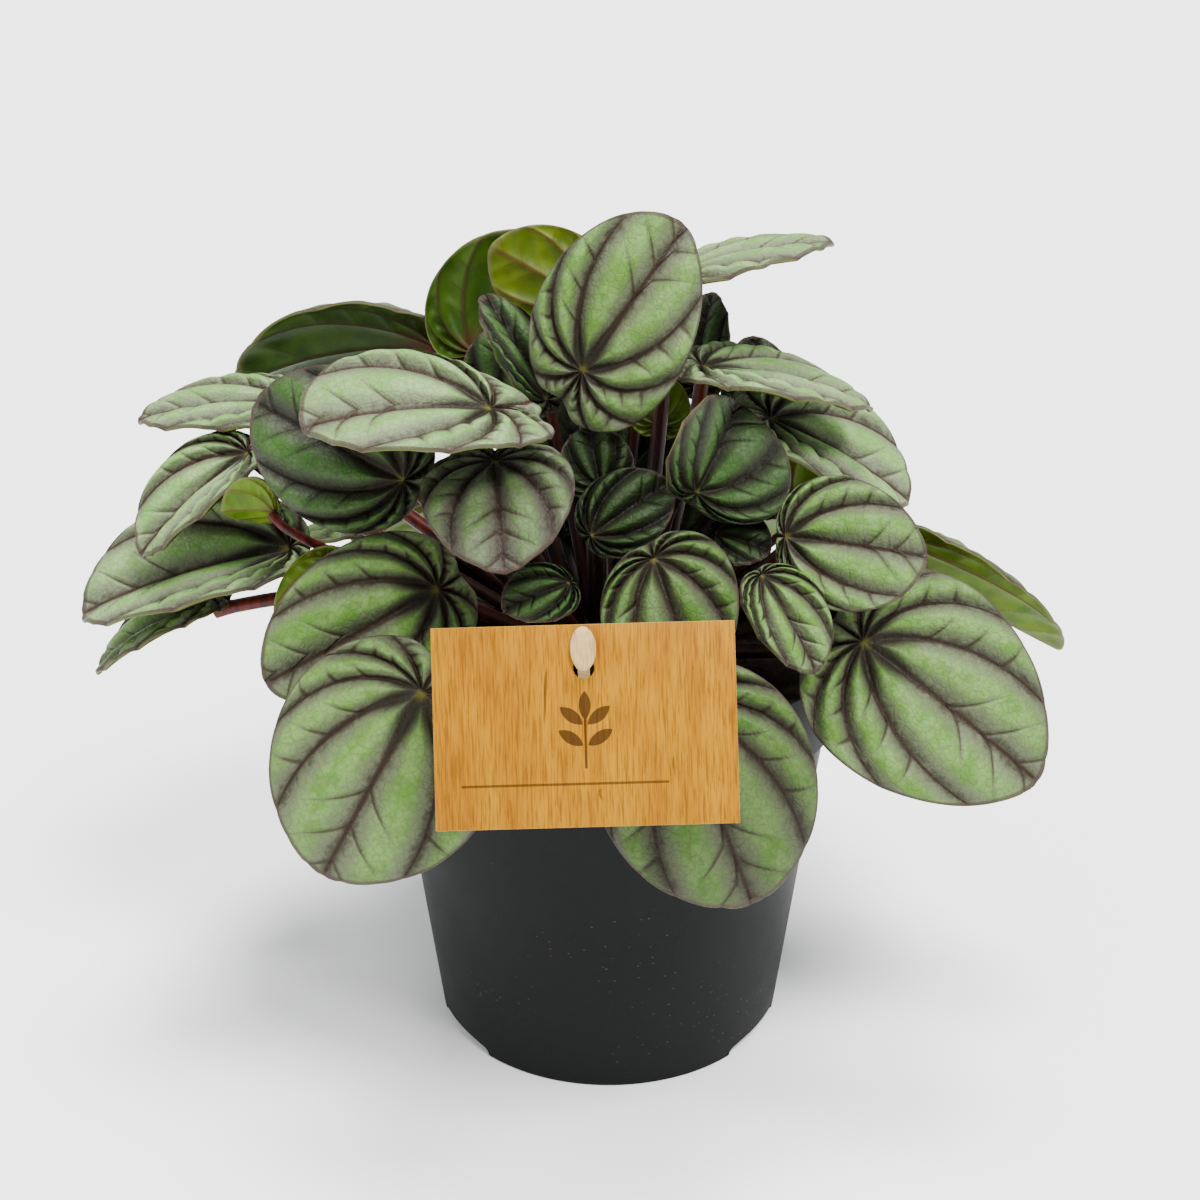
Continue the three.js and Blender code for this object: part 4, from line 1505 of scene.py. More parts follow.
@dataclass
class CrownAndStalks:
    """The short crown in the soil and one fleshy stalk for each leaf.

    Attributes:
        blades: The leaves.
        radius: The crown's radius.
        buried: How far it reaches down into the soil.
        lift: How far its foot stays clear of the hole's floor.
        dome: Its top, as shares of the radius and heights above the soil.
        crown_steps: How many sides the crown has.
        sides: How many sides a stalk has.
        steps: How many pieces a stalk is long.
        root_swell: How much thicker a stalk is at its root.
        joint_swell: How much thicker it is under the blade.
    """

    blades: list[Blade]
    radius: float = 15.0
    buried: float = 14.0
    lift: float = 0.3
    dome: tuple[tuple[float, float], ...] = ((1, 0), (0.93, 3.5), (0.8, 6), (0.4, 9), (0, 9))
    crown_steps: int = 40
    sides: int = 14
    steps: int = 30
    root_swell: float = 0.15
    joint_swell: float = 0.22

    def build(self, finish: bpy.types.Material) -> bpy.types.Object:
        """Builds the crown with all its stalks.

        Args:
            finish: The stalks' skin.

        Returns:
            The piece.
        """
        mesh = bmesh.new()
        soil_top = PottingSoil.top
        foot = soil_top - self.buried + self.lift
        sides = [(self.radius * share, soil_top + rise) for share, rise in self.dome]
        turn(mesh, [(0, foot), (self.radius, foot), *sides], self.crown_steps)
        for blade in self.blades:
            self.add_stalk(mesh, *blade.stalk_line(self.radius, soil_top))
        bmesh.ops.recalc_face_normals(mesh, faces=mesh.faces)
        return piece_of(mesh, "crown_and_red_stalks", "crown_and_stalks", [finish], crease=60)

    def add_stalk(self, mesh: bmesh.types.BMesh, line: np.ndarray, radius: float) -> None:
        """Adds one stalk as a ring that is extruded along its line.

        Args:
            mesh: The mesh that it is added to.
            line: The curve's four control points.
            radius: The stalk's radius.
        """
        start, rising, turn_in, end = line
        share = np.linspace(0, 1, self.steps + 1)[:, None]
        rest = 1 - share
        centres = (rest ** 3 * start + 3 * rest ** 2 * share * rising
                   + 3 * rest * share ** 2 * turn_in + share ** 3 * end)
        headings = (3 * rest ** 2 * (rising - start) + 6 * rest * share * (turn_in - rising)
                    + 3 * share ** 2 * (end - turn_in))
        at_joint, at_root = smooth(share[:, 0], 0.94, 1), smooth(share[:, 0], 0.25, 0)
        sizes = radius * (1 + self.joint_swell * at_joint + self.root_swell * at_root)
        sweep(mesh, centres, headings, [(size, size) for size in sizes], self.sides)


# ---------------------------------------------------------------- pot and soil


@dataclass
class NurseryPot:
    """A tapered plastic nursery pot with a rim band, a foot ring with notches and drain holes.

    Attributes:
        height: The pot's height.
        rim_radius: The rim band's radius at the top.
        rim_foot: The rim band's radius at its lower edge.
        rim_band: The rim band's height.
        neck_radius: The wall's radius under the rim band.
        base_radius: The wall's radius at the foot.
        wall: The wall's thickness.
        floor_under: The height of the floor's underside.
        floor_top: The height of its upper side.
        boss_radius: The radius of the round foot in the middle.
        boss_flare: How much wider that is at the floor.
        foot_ring: The foot ring's width inside its rounding, at its foot and at the floor.
        neck_fillet: How far in and down the fillet under the rim band starts, and how far out it ends.
        rim_chamfer: The chamfer at the rim band's lower edge.
        heel_round: The rounding at the foot.
        notch_half: Half a notch's share of the foot ring, in degrees.
        notch_height: A notch's height.
        notch_square: How square its arch is, 1 for an ellipse and lower for squarer.
        notch_places: Where the notches are, in degrees.
        drain_radius: A drain hole's radius.
        drain_ring: How far the drain holes are from the axis.
        drains: How many there are.
        steps: How many steps the round wall has.
    """

    height: float = 107.5
    rim_radius: float = 60.0
    rim_foot: float = 58.6
    rim_band: float = 20.0
    neck_radius: float = 55.3
    base_radius: float = 44.3
    wall: float = 1.5
    floor_under: float = 2.6
    floor_top: float = 4.4
    boss_radius: float = 9.0
    boss_flare: float = 1.5
    foot_ring: tuple[float, float] = (1.6, 3.0)
    neck_fillet: Point = (0.06, 0.4, 0.35)
    rim_chamfer: float = 0.5
    heel_round: float = 0.8
    notch_half: float = 16.0
    notch_height: float = 3.2
    notch_square: float = 0.4
    notch_places: tuple[int, ...] = (90, 210, 330)
    drain_radius: float = 3.2
    drain_ring: float = 28.0
    drains: int = 6
    steps: int = 192

    @property
    def neck(self) -> float:
        """The height of the rim band's lower edge."""
        return self.height - self.rim_band

    def inside_radius(self, height: float) -> float:
        """The pot's inside radius at a height."""
        if height < self.neck:
            outside = self.base_radius + (self.neck_radius - self.base_radius) * height / self.neck
        else:
            rise = (height - self.neck) / self.rim_band
            outside = self.rim_foot + (self.rim_radius - self.rim_foot) * rise
        return outside - self.wall

    def profile(self) -> list[tuple[float, float]]:
        """The wall's section as radius and height pairs, from the axis round to the axis.

        Returns:
            The pairs.
        """
        heel = self.base_radius - self.heel_round
        heel_arc = [(heel + self.heel_round * math.sin(angle), self.heel_round * (1 - math.cos(angle)))
                    for angle in np.linspace(0, math.pi / 2, 7)]
        lip = self.wall / 2
        lip_arc = [(self.rim_radius - lip + lip * math.cos(angle), self.height - lip + lip * math.sin(angle))
                   for angle in np.linspace(0, math.pi, 9)]
        inner_heights = (self.neck + 2 * self.wall, self.neck - 0.01, self.floor_top)
        ring_foot, ring_top = self.foot_ring
        inward, down, outward = self.neck_fillet
        chamfer = self.rim_chamfer
        return [
            (0, 0), (self.boss_radius, 0), (self.boss_radius + self.boss_flare, self.floor_under),
            (heel - ring_top, self.floor_under), (heel - ring_foot, 0), *heel_arc,
            (self.neck_radius - inward, self.neck - down), (self.neck_radius + outward, self.neck),
            (self.rim_foot - chamfer, self.neck), (self.rim_foot, self.neck + chamfer), *lip_arc,
            *[(self.inside_radius(height), height) for height in inner_heights], (0, self.floor_top),
        ]

    def notch(self, degrees: float) -> bmesh.types.BMesh:
        """A cutter for one low arch in the foot ring.

        Args:
            degrees: Where the arch is, round the pot.

        Returns:
            The cutter.
        """
        half_width = self.base_radius * math.sin(math.radians(self.notch_half))
        outside, depth = self.base_radius + 6, 14
        mesh = bmesh.new()
        disc = bmesh.ops.create_circle(mesh, cap_ends=True, segments=48, radius=1)["verts"]
        for vertex in disc:
            rise = math.copysign(abs(vertex.co.y) ** self.notch_square, vertex.co.y) * self.notch_height
            vertex.co = (vertex.co.x * half_width * MM, -outside * MM, rise * MM)
        grown = bmesh.ops.extrude_face_region(mesh, geom=mesh.faces[:])["geom"]
        inward = [item for item in grown if isinstance(item, bmesh.types.BMVert)]
        bmesh.ops.translate(mesh, vec=(0, depth * MM, 0), verts=inward)
        bmesh.ops.rotate(mesh, matrix=Matrix.Rotation(math.radians(degrees + 90), 3, "Z"), verts=mesh.verts)
        bmesh.ops.recalc_face_normals(mesh, faces=mesh.faces)
        return mesh

    def drain(self, degrees: float) -> bmesh.types.BMesh:
        """A cutter for one drain hole in the floor.

        Args:
            degrees: Where the hole is, round the pot.

        Returns:
            The cutter.
        """
        angle = math.radians(degrees)
        middle_height = 3
        middle = (self.drain_ring * math.cos(angle), self.drain_ring * math.sin(angle), middle_height)
        return round_cutter(self.drain_radius, depth=12, middle=middle, segments=32)

    def build(self, finish: bpy.types.Material) -> bpy.types.Object:
        """Builds the pot.

        Args:
            finish: The pot's plastic.

        Returns:
            The piece.
        """
        body = bmesh.new()
        turn(body, self.profile(), self.steps)
        for degrees in self.notch_places:
            body = carved(body, self.notch(degrees))
        for degrees in range(0, 360, 360 // self.drains):
            body = carved(body, self.drain(degrees))
        return piece_of(body, "nursery_pot", "pot", [finish], crease=35)


@dataclass
class PottingSoil:
    """Crumbly soil that fills the pot, with bits of bark and fibre on top.

    Attributes:
        pot: The pot that it fills.
        stake_foot: Where the label's strip ends.
        slot: The slot's width and depth round the strip.
        clearance: The room to the pot, the crown and the strip's end.
        crumb: How coarse the soil's top is.
        rings: How many rings the top has.
        steps: How many steps round it.
        loose_bits: How many crumbs and fibres lie on it.
        strip_room: How far from the strip they stay, aside and to the front and back.
        fibre_share: The share of them that are fibres.
        bit_size: The least and the greatest size of a bit.
        crumb_shape: A crumb's length, width and height, as shares of its size.
        fibre_length: A fibre's least and greatest length, as such shares.
        seed: The seed of their places.
        top: The height of the soil's top.
    """

    pot: NurseryPot
    stake_foot: Point = (-5.5, -42.4, 52.0)
    slot: tuple[float, float] = (3.2, 5.4)
    clearance: float = 0.3
    crumb: float = 1.3
    rings: int = 40
    steps: int = 160
    loose_bits: int = 420
    strip_room: tuple[float, float] = (4.0, 6.0)
    fibre_share: float = 0.35
    bit_size: tuple[float, float] = (0.5, 1.3)
    crumb_shape: Point = (1.0, 0.8, 0.7)
    fibre_length: tuple[float, float] = (2.5, 4.5)
    seed: int = 41

    top = 98.0

    def lumps(self, x: float, y: float) -> float:
        """The height of the soil's lumps at a place, in millimetres."""
        coarse = math.sin(0.31 * x + 1.3) * math.cos(0.27 * y) + math.sin(0.15 * x - 0.41 * y)
        fine = noise.fractal(Vector((x, y, 0)) * 0.32, 0.9, 2.0, 4)
        return self.crumb * 0.5 * coarse + 0.75 * fine

    def build(self, finish: bpy.types.Material) -> bpy.types.Object:
        """Builds the soil.

        Args:
            finish: The soil's surface.

        Returns:
            The piece.
        """
        body = bmesh.new()
        neck, gap, wall = self.pot.neck, self.clearance, self.pot.wall
        step = neck + 2 * wall
        rim = self.pot.inside_radius(self.top) - gap
        surface = [(rim * (1 - share), self.top) for share in np.linspace(0, 1, self.rings)]
        floor = self.pot.floor_top + gap
        turn(body, [(0, floor), (self.pot.inside_radius(floor) - gap, floor),
                    (self.pot.inside_radius(neck - 0.01) - gap, neck + gap),
                    (self.pot.inside_radius(step) - gap, step + 3 * gap), *surface], self.steps)
        for vertex in body.verts:
            if vertex.co.z > (self.top - 0.1) * MM:
                vertex.co.z += self.lumps(vertex.co.x / MM, vertex.co.y / MM) * MM
        hole = round_cutter(CrownAndStalks.radius + gap, 2 * CrownAndStalks.buried, (0, 0, self.top),
                            segments=48)
        body = carved(body, hole)
        slot = bmesh.new()
        x, y, foot = self.stake_foot
        depth = 2 * (self.top - foot + gap)
        size = Matrix.Diagonal([length * MM for length in (*self.slot, depth)] + [1])
        place = Matrix.Translation((x * MM, y * MM, self.top * MM))
        bmesh.ops.create_cube(slot, size=1, matrix=place @ size)
        body = carved(body, slot)
        self.scatter(body, rim)
        return piece_of(body, "potting_soil_fill", "soil", [finish], crease=50)

    def scatter(self, mesh: bmesh.types.BMesh, rim: float) -> None:
        """Scatters crumbs and short fibres over the surface.

        Args:
            mesh: The mesh that they are added to.
            rim: The surface's radius.
        """
        draw = random.Random(self.seed)
        room_aside, room_along = self.strip_room
        for _ in range(self.loose_bits):
            radius = draw.uniform(CrownAndStalks.radius + 2, rim - 2)
            angle = draw.uniform(0, math.tau)
            x, y = radius * math.cos(angle), radius * math.sin(angle)
            if abs(x - self.stake_foot[0]) < room_aside and abs(y - self.stake_foot[1]) < room_along:
                continue
            long = draw.random() < self.fibre_share
            size = draw.uniform(*self.bit_size)
            shape = self.crumb_shape
            if long:
                shape = (draw.uniform(*self.fibre_length), 0.5, 0.45)
            place = Matrix.Translation(Vector((x, y, self.top + self.lumps(x, y) + 0.2 * size)) * MM)
            heading = Matrix.Rotation(draw.uniform(0, math.tau), 4, "Z")
            tilt = Matrix.Rotation(draw.uniform(-0.5, 0.5), 4, "Y")
            scale = Matrix.Diagonal([size * share * MM for share in shape] + [1])
            bmesh.ops.create_icosphere(mesh, subdivisions=1, radius=1, matrix=place @ heading @ tilt @ scale)


# ---------------------------------------------------------------- label and stake


@dataclass
class PlantLabel:
    """A printed card with a punched hole that hangs in front of the plant.

    Attributes:
        width: The card's width.
        height: Its height.
        thickness: Its thickness.
        top_middle: Where the middle of its upper edge is.
        lean_back: How far it leans back, in degrees.
        turn: How far it is turned in its own plane, in degrees.
        edge_round: The rounding of its edges.
        hole_down: How far the hole is under the upper edge.
        hole_radius: The hole's radius.
    """

    width: float = 63.0
    height: float = 42.0
    thickness: float = 0.8
    top_middle: Point = (-5.5, -84.0, 147.0)
    lean_back: float = 24.6
    turn: float = 1.6
    edge_round: float = 0.12
    hole_down: float = 9.1
    hole_radius: float = 2.2

    def matrix(self) -> Matrix:
        """From the card's own plane, its top edge's middle at the origin, into place."""
        lean = Matrix.Rotation(math.radians(90 - self.lean_back), 4, "X")
        turned = Matrix.Rotation(math.radians(self.turn), 4, "Z")
        return Matrix.Translation(Vector(self.top_middle) * MM) @ lean @ turned

    def build(self, printed: bpy.types.Material, raw: bpy.types.Material) -> bpy.types.Object:
        """Builds the card.

        Args:
            printed: The printed front.
            raw: The cut edges and the back.

        Returns:
            The piece.
        """
        card = bmesh.new()
        middle = Vector((0, -self.height / 2, self.thickness / 2)) * MM
        size = Matrix.Diagonal((self.width * MM, self.height * MM, self.thickness * MM, 1))
        bmesh.ops.create_cube(card, size=1, matrix=Matrix.Translation(middle) @ size)
        bmesh.ops.bevel(card, geom=card.edges[:], offset=self.edge_round * MM, segments=2, profile=0.5,
                        affect="EDGES", material=-1)
        punch = round_cutter(self.hole_radius, depth=6, middle=(0, -self.hole_down, 0), segments=64)
        card = carved(card, punch)
        card.normal_update()
        uv = card.loops.layers.uv.verify()
        for face in card.faces:
            face.material_index = 0 if face.normal.z > 0.5 else 1
            for loop in face.loops:
                place = loop.vert.co / MM
                loop[uv].uv = (place.x / self.width + 0.5, place.y / self.height + 1)
        bmesh.ops.transform(card, matrix=self.matrix(), verts=card.verts)
        return piece_of(card, "plant_label_card", "label", [printed, raw], crease=30)


@dataclass
class LabelStake:
    """A wooden strip from the soil through the label's hole, with an oval head in front of it.

    Attributes:
        label: The label that it holds.
        width: The strip's width.
        strip_thickness: Its thickness.
        through_hole: How far under the label's upper edge it passes the hole.
        path: Its way up to the label, as places to the front and above the floor.
        straight: How far behind the label it is straight again.
        head_down: How far the head's middle is under the label's upper edge.
        head_width: Half the head's width.
        head_height: Half its height.
        head_thickness: Its thickness.
        head_spread: How its rings are spread over its thickness, below 1 nearer to its faces.
        head_square: How square its section is, 2 for an ellipse and higher for squarer.
        gap: The room between the label and the head.
        path_steps: How many pieces the strip has between two places of its way.
    """

    label: PlantLabel
    width: float = 2.6
    strip_thickness: float = 1.4
    through_hole: float = 8.4
    path: tuple[tuple[float, float], ...] = ((-42, 52), (-42, 92), (-48, 110), (-66, 128))
    straight: float = 4.0
    head_down: float = 5.0
    head_width: float = 2.7
    head_height: float = 4.65
    head_thickness: float = 1.8
    head_spread: float = 0.6
    head_square: float = 3.2
    gap: float = 0.3
    path_steps: int = 14

    @property
    def head_middle(self) -> float:
        """How far the head's middle is in front of the label's back."""
        return self.label.thickness + self.gap + self.head_thickness / 2

    def on_axis(self, out: float) -> np.ndarray:
        """A point on the strip's line through the hole, so far in front of the card's back."""
        lean = math.radians(self.label.lean_back)
        x, y, z = self.label.top_middle
        return np.array([x, y - self.through_hole * math.sin(lean) - out * math.cos(lean),
                         z - self.through_hole * math.cos(lean) + out * math.sin(lean)])

    def build(self, finish: bpy.types.Material) -> bpy.types.Object:
        """Builds the strip with its head.

        Args:
            finish: The wood.

        Returns:
            The piece.
        """
        mesh = bmesh.new()
        x = self.label.top_middle[0]
        knots = [np.array([x, y, z], float) for y, z in self.path]
        knots += [self.on_axis(-self.straight), self.on_axis(self.head_middle)]
        centres = rounded_line(knots, self.path_steps)
        headings = np.gradient(centres, axis=0)
        halves = [(self.width / 2, self.strip_thickness / 2)] * len(centres)
        sweep(mesh, centres, headings, halves, sides=4, start=math.pi / 4, stretch=math.sqrt(2))
        head = bmesh.ops.create_uvsphere(mesh, u_segments=48, v_segments=24, radius=1)["verts"]
        middle = Vector((0, -self.head_down, self.head_middle)) * MM
        half = self.head_thickness / 2
        for vertex in head:
            x, y, z = vertex.co
            flat = math.copysign(abs(z) ** self.head_spread, z) * half
            rim = (1 - (abs(flat) / half) ** self.head_square) ** (1 / self.head_square)
            wide = rim / max(math.hypot(x, y), 1e-6)
            place = Vector((x * wide * self.head_width, y * wide * self.head_height, flat))
            vertex.co = place * MM + middle
        bmesh.ops.transform(mesh, matrix=self.label.matrix(), verts=head)
        bmesh.ops.recalc_face_normals(mesh, faces=mesh.faces)
        return piece_of(mesh, "label_stake_wood", "label_stake", [finish], crease=50)


# ---------------------------------------------------------------- studio


@dataclass(frozen=True)
class Sun:
    """A broad lamp far away.

    Attributes:
        name: What it is called.
        strength: How strong it is.
        softness: How wide it is in the sky, in degrees.
        tilt: How far it stands away from straight above, in degrees.
        turned: Which way it stands, in degrees from the front to the right.
    """

    name: str
    strength: float
    softness: float
    tilt: float
    turned: float


@dataclass
class Studio:
    """The camera that matches the photograph, the plain floor and the soft light.

    Attributes:
        camera_place: Where the camera is.
        pitch: How far it looks down, in degrees.
        lens: Its focal length.
        sensor: Its sensor's width.
        shift: How far the picture is shifted aside, as a share of its width.
        clip: The nearest and the furthest that it sees, in metres.
        floor_half: Half the floor's width, in metres.
        sky: The colour of the light from all round.
        sky_strength: How strong that is.
        suns: The lamps: a key from the front right, a fill from the front left, and one above.
    """

    camera_place: Point = (0.0, -500.0, 343.0)
    pitch: float = 24.6
    lens: float = 66.54
    sensor: float = 36.0
    shift: float = -0.0075
    clip: tuple[float, float] = (0.01, 20.0)
    floor_half: float = 8.0
    sky: Colour = shade(246, 248, 252)
    sky_strength: float = 0.85
    suns: tuple[Sun, ...] = (Sun("key", 5.2, 20.0, 34.0, 30.0), Sun("fill", 0.8, 60.0, 50.0, -55.0),
                             Sun("top", 5.4, 24.0, 6.0, 150.0))

    def place_camera(self) -> None:
        """Adds the camera."""
        data = bpy.data.cameras.new("camera")
        data.sensor_width, data.lens, data.shift_x = self.sensor, self.lens, self.shift
        data.clip_start, data.clip_end = self.clip
        camera = bpy.data.objects.new("camera", data)
        camera.location = Vector(self.camera_place) * MM
        camera.rotation_euler = (math.radians(90 - self.pitch), 0, 0)
        bpy.context.scene.collection.objects.link(camera)
        bpy.context.scene.camera = camera

    def lay_floor(self, finish: bpy.types.Material) -> None:
        """Adds the floor that the pot stands on.

        Args:
            finish: The floor's paint.
        """
        mesh = bmesh.new()
        bmesh.ops.create_grid(mesh, x_segments=1, y_segments=1, size=self.floor_half)
        data = bpy.data.meshes.new("floor")
        mesh.to_mesh(data)
        mesh.free()
        data.materials.append(finish)
        floor = bpy.data.objects.new("floor", data)
        bpy.context.scene.collection.objects.link(floor)

    def light(self) -> None:
        """Lights the scene softly from all round, from above and from both sides of the front."""
        world = bpy.data.worlds.new("studio_sky")
        world.use_nodes = True
        background = world.node_tree.nodes["Background"]
        background.inputs["Color"].default_value = (*self.sky, 1.0)
        background.inputs["Strength"].default_value = self.sky_strength
        bpy.context.scene.world = world
        for sun in self.suns:
            data = bpy.data.lights.new(sun.name, "SUN")
            data.energy, data.angle = sun.strength, math.radians(sun.softness)
            lamp = bpy.data.objects.new(sun.name, data)
            lamp.rotation_euler = (math.radians(sun.tilt), 0, math.radians(sun.turned))
            bpy.context.scene.collection.objects.link(lamp)


# ---------------------------------------------------------------- the plant


BLADES = [
    Blade("top_middle", (-6, -18, 180), (18, -8, 212), (0.1, -0.9, 0.42), 38, 0.06, 0.6, 0.3, skew=-0.22),
    Blade("top_right", (11, 8, 193), (53, 4, 205), (-0.1, 0.08, 0.98), 38, 0.05, 0.2, 0.2,
          upper=Upper.PALE_LIT),
    Blade("behind_right", (22, 21, 163), (25.5, 27, 186), (-0.7, -0.6, 0.2), 20, 0.1, 0.3, 0.2,
          upper=Upper.DEEP_SHADED),
    Blade("right_upper", (22, -7, 176.8), (63.5, -4, 166.7), (0.25, 0.06, 0.95), 38, 0.12, 0.3, 0.2,
          upper=Upper.PALE_LIT),
    Blade("right_middle", (39, 4, 160), (74.2, -1, 141), (0.3, -0.25, 0.9), 41, 0.3, 0.3, 0.3,
          upper=Upper.PALE_LIT),
    Blade("center_right", (20, -25, 153), (30, -14, 171.5), (0.5, -0.8, 0.2), 39, 0.6, 0.3, 0.18,
          upper=Upper.DEEP_SHADED),
    Blade("right_front", (40.5, -33, 145), (73, -40, 143), (0.15, -0.85, 0.5), 31, 0.08, 0.5, 0.1,
          skew=0.12),
    Blade("right_far", (70, 8, 127.5), (117, 12, 96), (0.5, 0.42, 0.76), 35, 0.5, -0.3, 0.15),
    Blade("right_low", (59, -36, 119.8), (100.5, -50, 90), (0.25, -0.9, 0.4), 51, 0.06, 0.4, 0.22,
          taper=0.2),
    Blade("right_small", (34, -46, 141), (47, -58, 122), (0.45, -0.75, 0.45), 20, 0.3, 0.3, 0.1),
    Blade("right_inner", (25, -22, 141), (38, -28, 139), (0, -0.5, 0.85), 17, 0.2, 0.3, 0.2,
          upper=Upper.SHADED),
    Blade("center_front", (10, -48, 146), (20, -61, 119.5), (0, -0.92, 0.38), 32, 0.06, 0.5, 0.17,
          skew=0.15, upper=Upper.MUTED_SHADED),
    Blade("front_low", (15, -72, 121), (32.5, -80, 75), (0.1, -0.98, 0.15), 48.5, 0.06, 0.4, 0.2,
          upper=Upper.MUTED_SHADED),
    Blade("inner_middle", (-4, -30, 144), (15, -22, 155), (0, -0.75, 0.65), 20, 0.2, 0.3, 0.12,
          upper=Upper.SHADED),
    Blade("inner_upper", (-2, -20, 152), (-5, -14, 166), (0, -0.9, 0.4), 18, 0.15, 0.2, 0.2,
          upper=Upper.SHADED),
    Blade("inner_under", (12, 18, 154), (14, 22, 166), (0.1, 0.9, -0.1), 16, 0.1, 0.3, 0.35,
          reach=10, upper=Upper.SHADED),
    Blade("silver_middle", (-25, -43, 167), (-22, -72, 153), (-0.05, -0.6, 0.8), 34, 0.04, 0.5, 0.3,
          upper=Upper.GREY_SHEEN),
    Blade("left_top", (-26, -45, 180), (-67, -52, 179), (-0.1, -0.28, 0.95), 37, 0.2, 0.4, 0.36,
          skew=0.25, taper=-0.25, bend=(-20, -22, 174), upper=Upper.PALE_LIT),
    Blade("left_dark", (-46, -38, 161), (-81, -26, 176), (-0.1, -0.9, 0.4), 36, 0.08, 0.5, 0.15,
          upper=Upper.DEEP_SHADED),
    Blade("left_far", (-75, 9, 162), (-115, 5, 160.5), (-0.1, -0.08, 0.98), 31, 0.12, 0.3, 0.2,
          upper=Upper.PALE_LIT),
    Blade("left_back", (-43, 35, 168), (-97, 43, 156), (-0.1, 0.65, 0.72), 42, 0.2, 0.6, 0.2,
          under=Under.DARK),
    Blade("back_disc", (-33, 22, 171), (-18, 30, 200), (-0.1, 0.95, 0.1), 34, 0.08, 0.4, 0.2,
          upper=Upper.DEEP_SHADED, under=Under.DARK),
    Blade("back_middle", (-5, 12, 187), (-29, 16, 200), (0.2, 0.9, -0.2), 26, 0.1, 0.3, 0.2,
          upper=Upper.DEEP_SHADED, under=Under.OLIVE),
    Blade("inner_left", (-25, 8, 162), (-27, 12, 182), (-0.2, -0.9, 0.3), 20, 0.2, 0.3, 0.2,
          upper=Upper.DEEP_SHADED),
    Blade("narrow_left", (-15, -10, 170), (-30, 0, 194), (0.5, -0.6, 0.6), 15, 0.4, 0.3, 0.15,
          upper=Upper.DEEP_SHADED, under=Under.DARK),
    Blade("left_middle", (-85, -10, 156.5), (-112, -20, 134.5), (-0.25, -0.35, 0.9), 26, 0.5, 0.3, 0.12,
          upper=Upper.PALE_LIT, under=Under.DARK),
    Blade("left_small", (-77, -27, 149), (-90, -26, 149), (0.1, 0.85, 0.5), 18, 0.45, 0.4, 0.15,
          bend=(-73, -36, 143)),
    Blade("left_low", (-77, -10, 132), (-129.5, -12, 116), (-0.1, -0.4, 0.9), 38, 0.5, 0.4, 0.12,
          upper=Upper.PALE_LIT),
    Blade("left_lowest", (-97, -8, 117), (-129, -5, 97), (-0.4, -0.1, 0.9), 24, 0.4, 0.3, 0.15,
          lift=24, bend=(-74, -12, 122)),
    Blade("front_left", (-39, -42, 136), (-78.5, -54, 117.5), (-0.1, -0.96, 0.25), 38, 0.06, 0.5, 0.2),
    Blade("front_left_low", (-41, -66, 122), (-64.5, -76, 80), (-0.1, -0.97, 0.2), 51, 0.04, 0.4, 0.22),
    Blade("small_front", (-9, -48, 140), (-24, -58, 138), (-0.1, -0.7, 0.7), 15, 0.2, 0.2, 0.12,
          upper=Upper.DEEP_SHADED),
    Blade("left_under", (-61, -31, 138), (-77, -31, 118), (0.3, 0.8, 0.4), 18, 0.1, 0.3, 0.15),
    Blade("shade_left", (-12, 23, 127), (-9, 40, 159), (0.15, -0.9, 0.3), 35, 0.1, 0.4, 0.2,
          upper=Upper.SHADED),
    Blade("shade_middle", (17, 27, 118), (28, 41, 144), (-0.15, -0.9, 0.45), 35, 0.1, 0.4, 0.2,
          upper=Upper.SHADED),
    Blade("shade_right", (39, 14, 153), (35, 30, 174), (0.05, -0.9, 0.35), 20, 0.1, 0.3, 0.2,
          upper=Upper.SHADED),
    Blade("shade_back", (6, 47, 119), (10, 51, 148), (0.05, -0.9, 0.15), 30, 0.1, 0.4, 0.2,
          upper=Upper.SHADED),
    Blade("right_between", (47, 6, 134), (57, 9, 151), (0.05, 0.9, -0.2), 26, 0.1, 0.3, 0.2,
          upper=Upper.SHADED),
    Blade("rear_low_left", (-35, 50, 122), (-62, 78, 90), (-0.4, 0.6, 0.7), 44, 0.08, 0.5, 0.2),
    Blade("rear_low_middle", (2, 60, 122), (6, 96, 90), (0, 0.6, 0.8), 46, 0.08, 0.5, 0.2),
    Blade("rear_low_right", (38, 48, 118), (66, 76, 88), (0.4, 0.6, 0.7), 44, 0.08, 0.5, 0.2),
    Blade("rear_side_left", (-66, 28, 122), (-102, 44, 98), (-0.5, 0.3, 0.8), 38, 0.1, 0.5, 0.2),
    Blade("rear_side_right", (58, 28, 116), (90, 46, 84), (0.5, 0.3, 0.8), 38, 0.1, 0.5, 0.2),
    Blade("rear_middle_left", (-36, 48, 150), (-60, 76, 136), (-0.2, 0.4, 0.9), 40, 0.1, 0.5, 0.2),
    Blade("rear_middle", (-2, 50, 156), (2, 86, 142), (0, 0.4, 0.9), 42, 0.1, 0.5, 0.2),
    Blade("rear_middle_right", (34, 28, 150), (64, 46, 136), (0.3, 0.4, 0.85), 40, 0.1, 0.5, 0.2),
    Blade("rear_upper_left", (-18, 38, 178), (-34, 64, 168), (-0.1, 0.4, 0.9), 36, 0.1, 0.4, 0.2),
    Blade("rear_upper_right", (8, 38, 170), (18, 66, 158), (0.1, 0.4, 0.9), 34, 0.1, 0.4, 0.2),
]


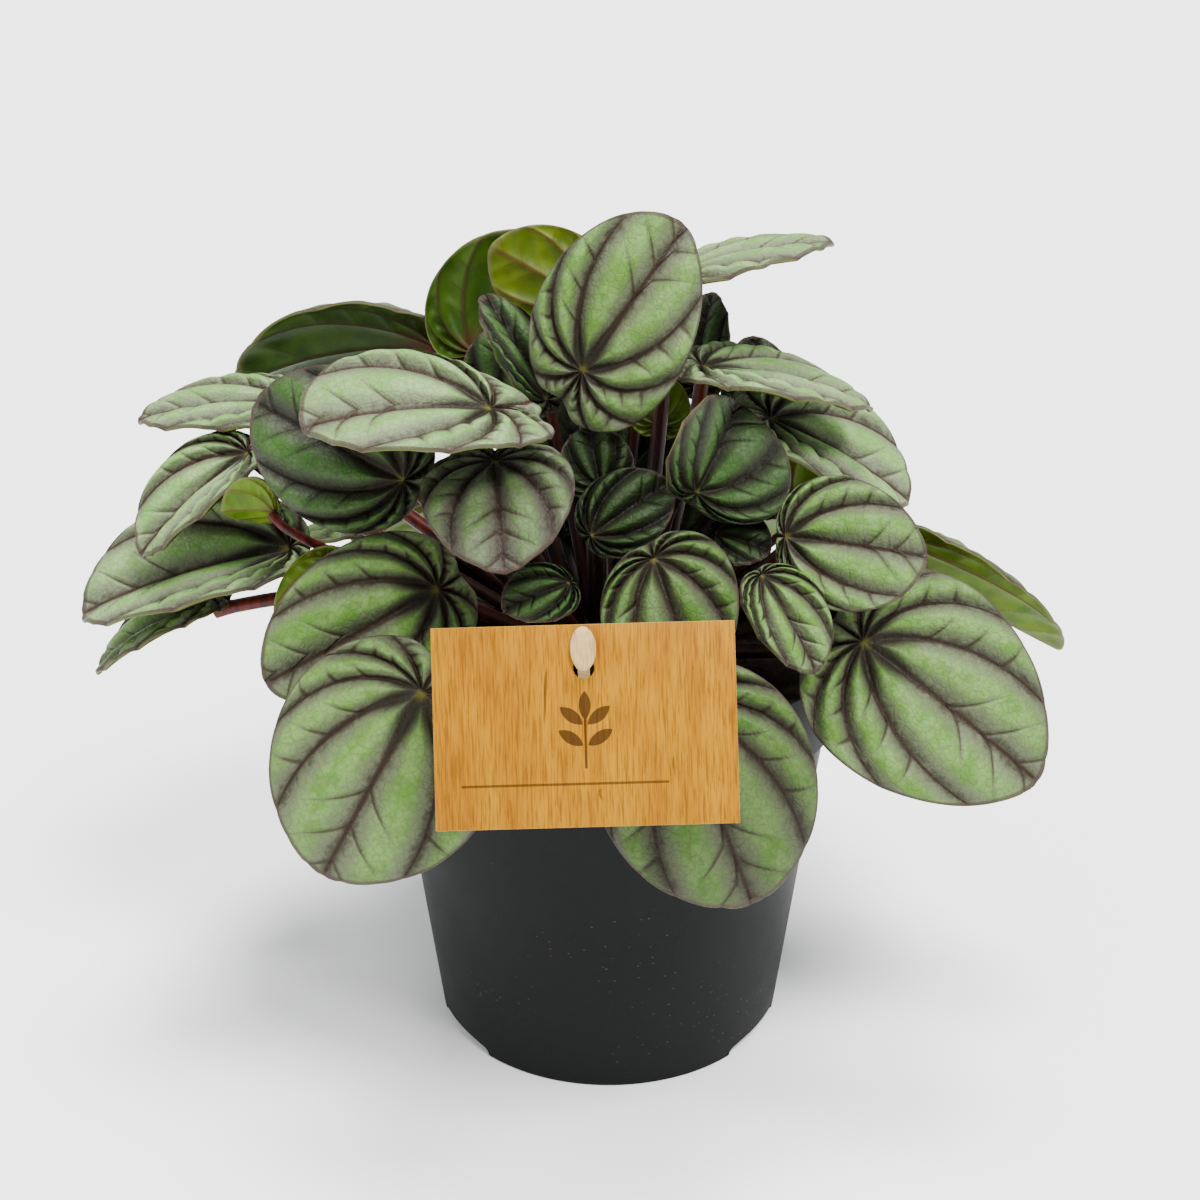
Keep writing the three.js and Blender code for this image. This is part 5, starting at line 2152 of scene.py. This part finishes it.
def main() -> None:
    """Builds the scene in order."""
    studio = Studio()
    studio.place_camera()
    leaf_finishes = {tone: LeafUpper(tone).build() for tone in Upper}
    leaf_finishes |= {tone: LeafUnder(tone).build() for tone in Under}

    pot = NurseryPot()
    pot.build(PotPlastic().build())
    PottingSoil(pot).build(SoilSkin().build())
    CrownAndStalks(BLADES).build(StalkSkin().build())
    for blade in BLADES:
        blade.build(leaf_finishes)
    label = PlantLabel()
    label.build(CardPrint().build(), RawCard().build())
    LabelStake(label).build(StakeWood().build())

    studio.lay_floor(FloorPaint().build())
    studio.light()


if __name__ == "__main__":
    logging.basicConfig(level=logging.INFO, format="%(name)s: %(message)s")
    main()
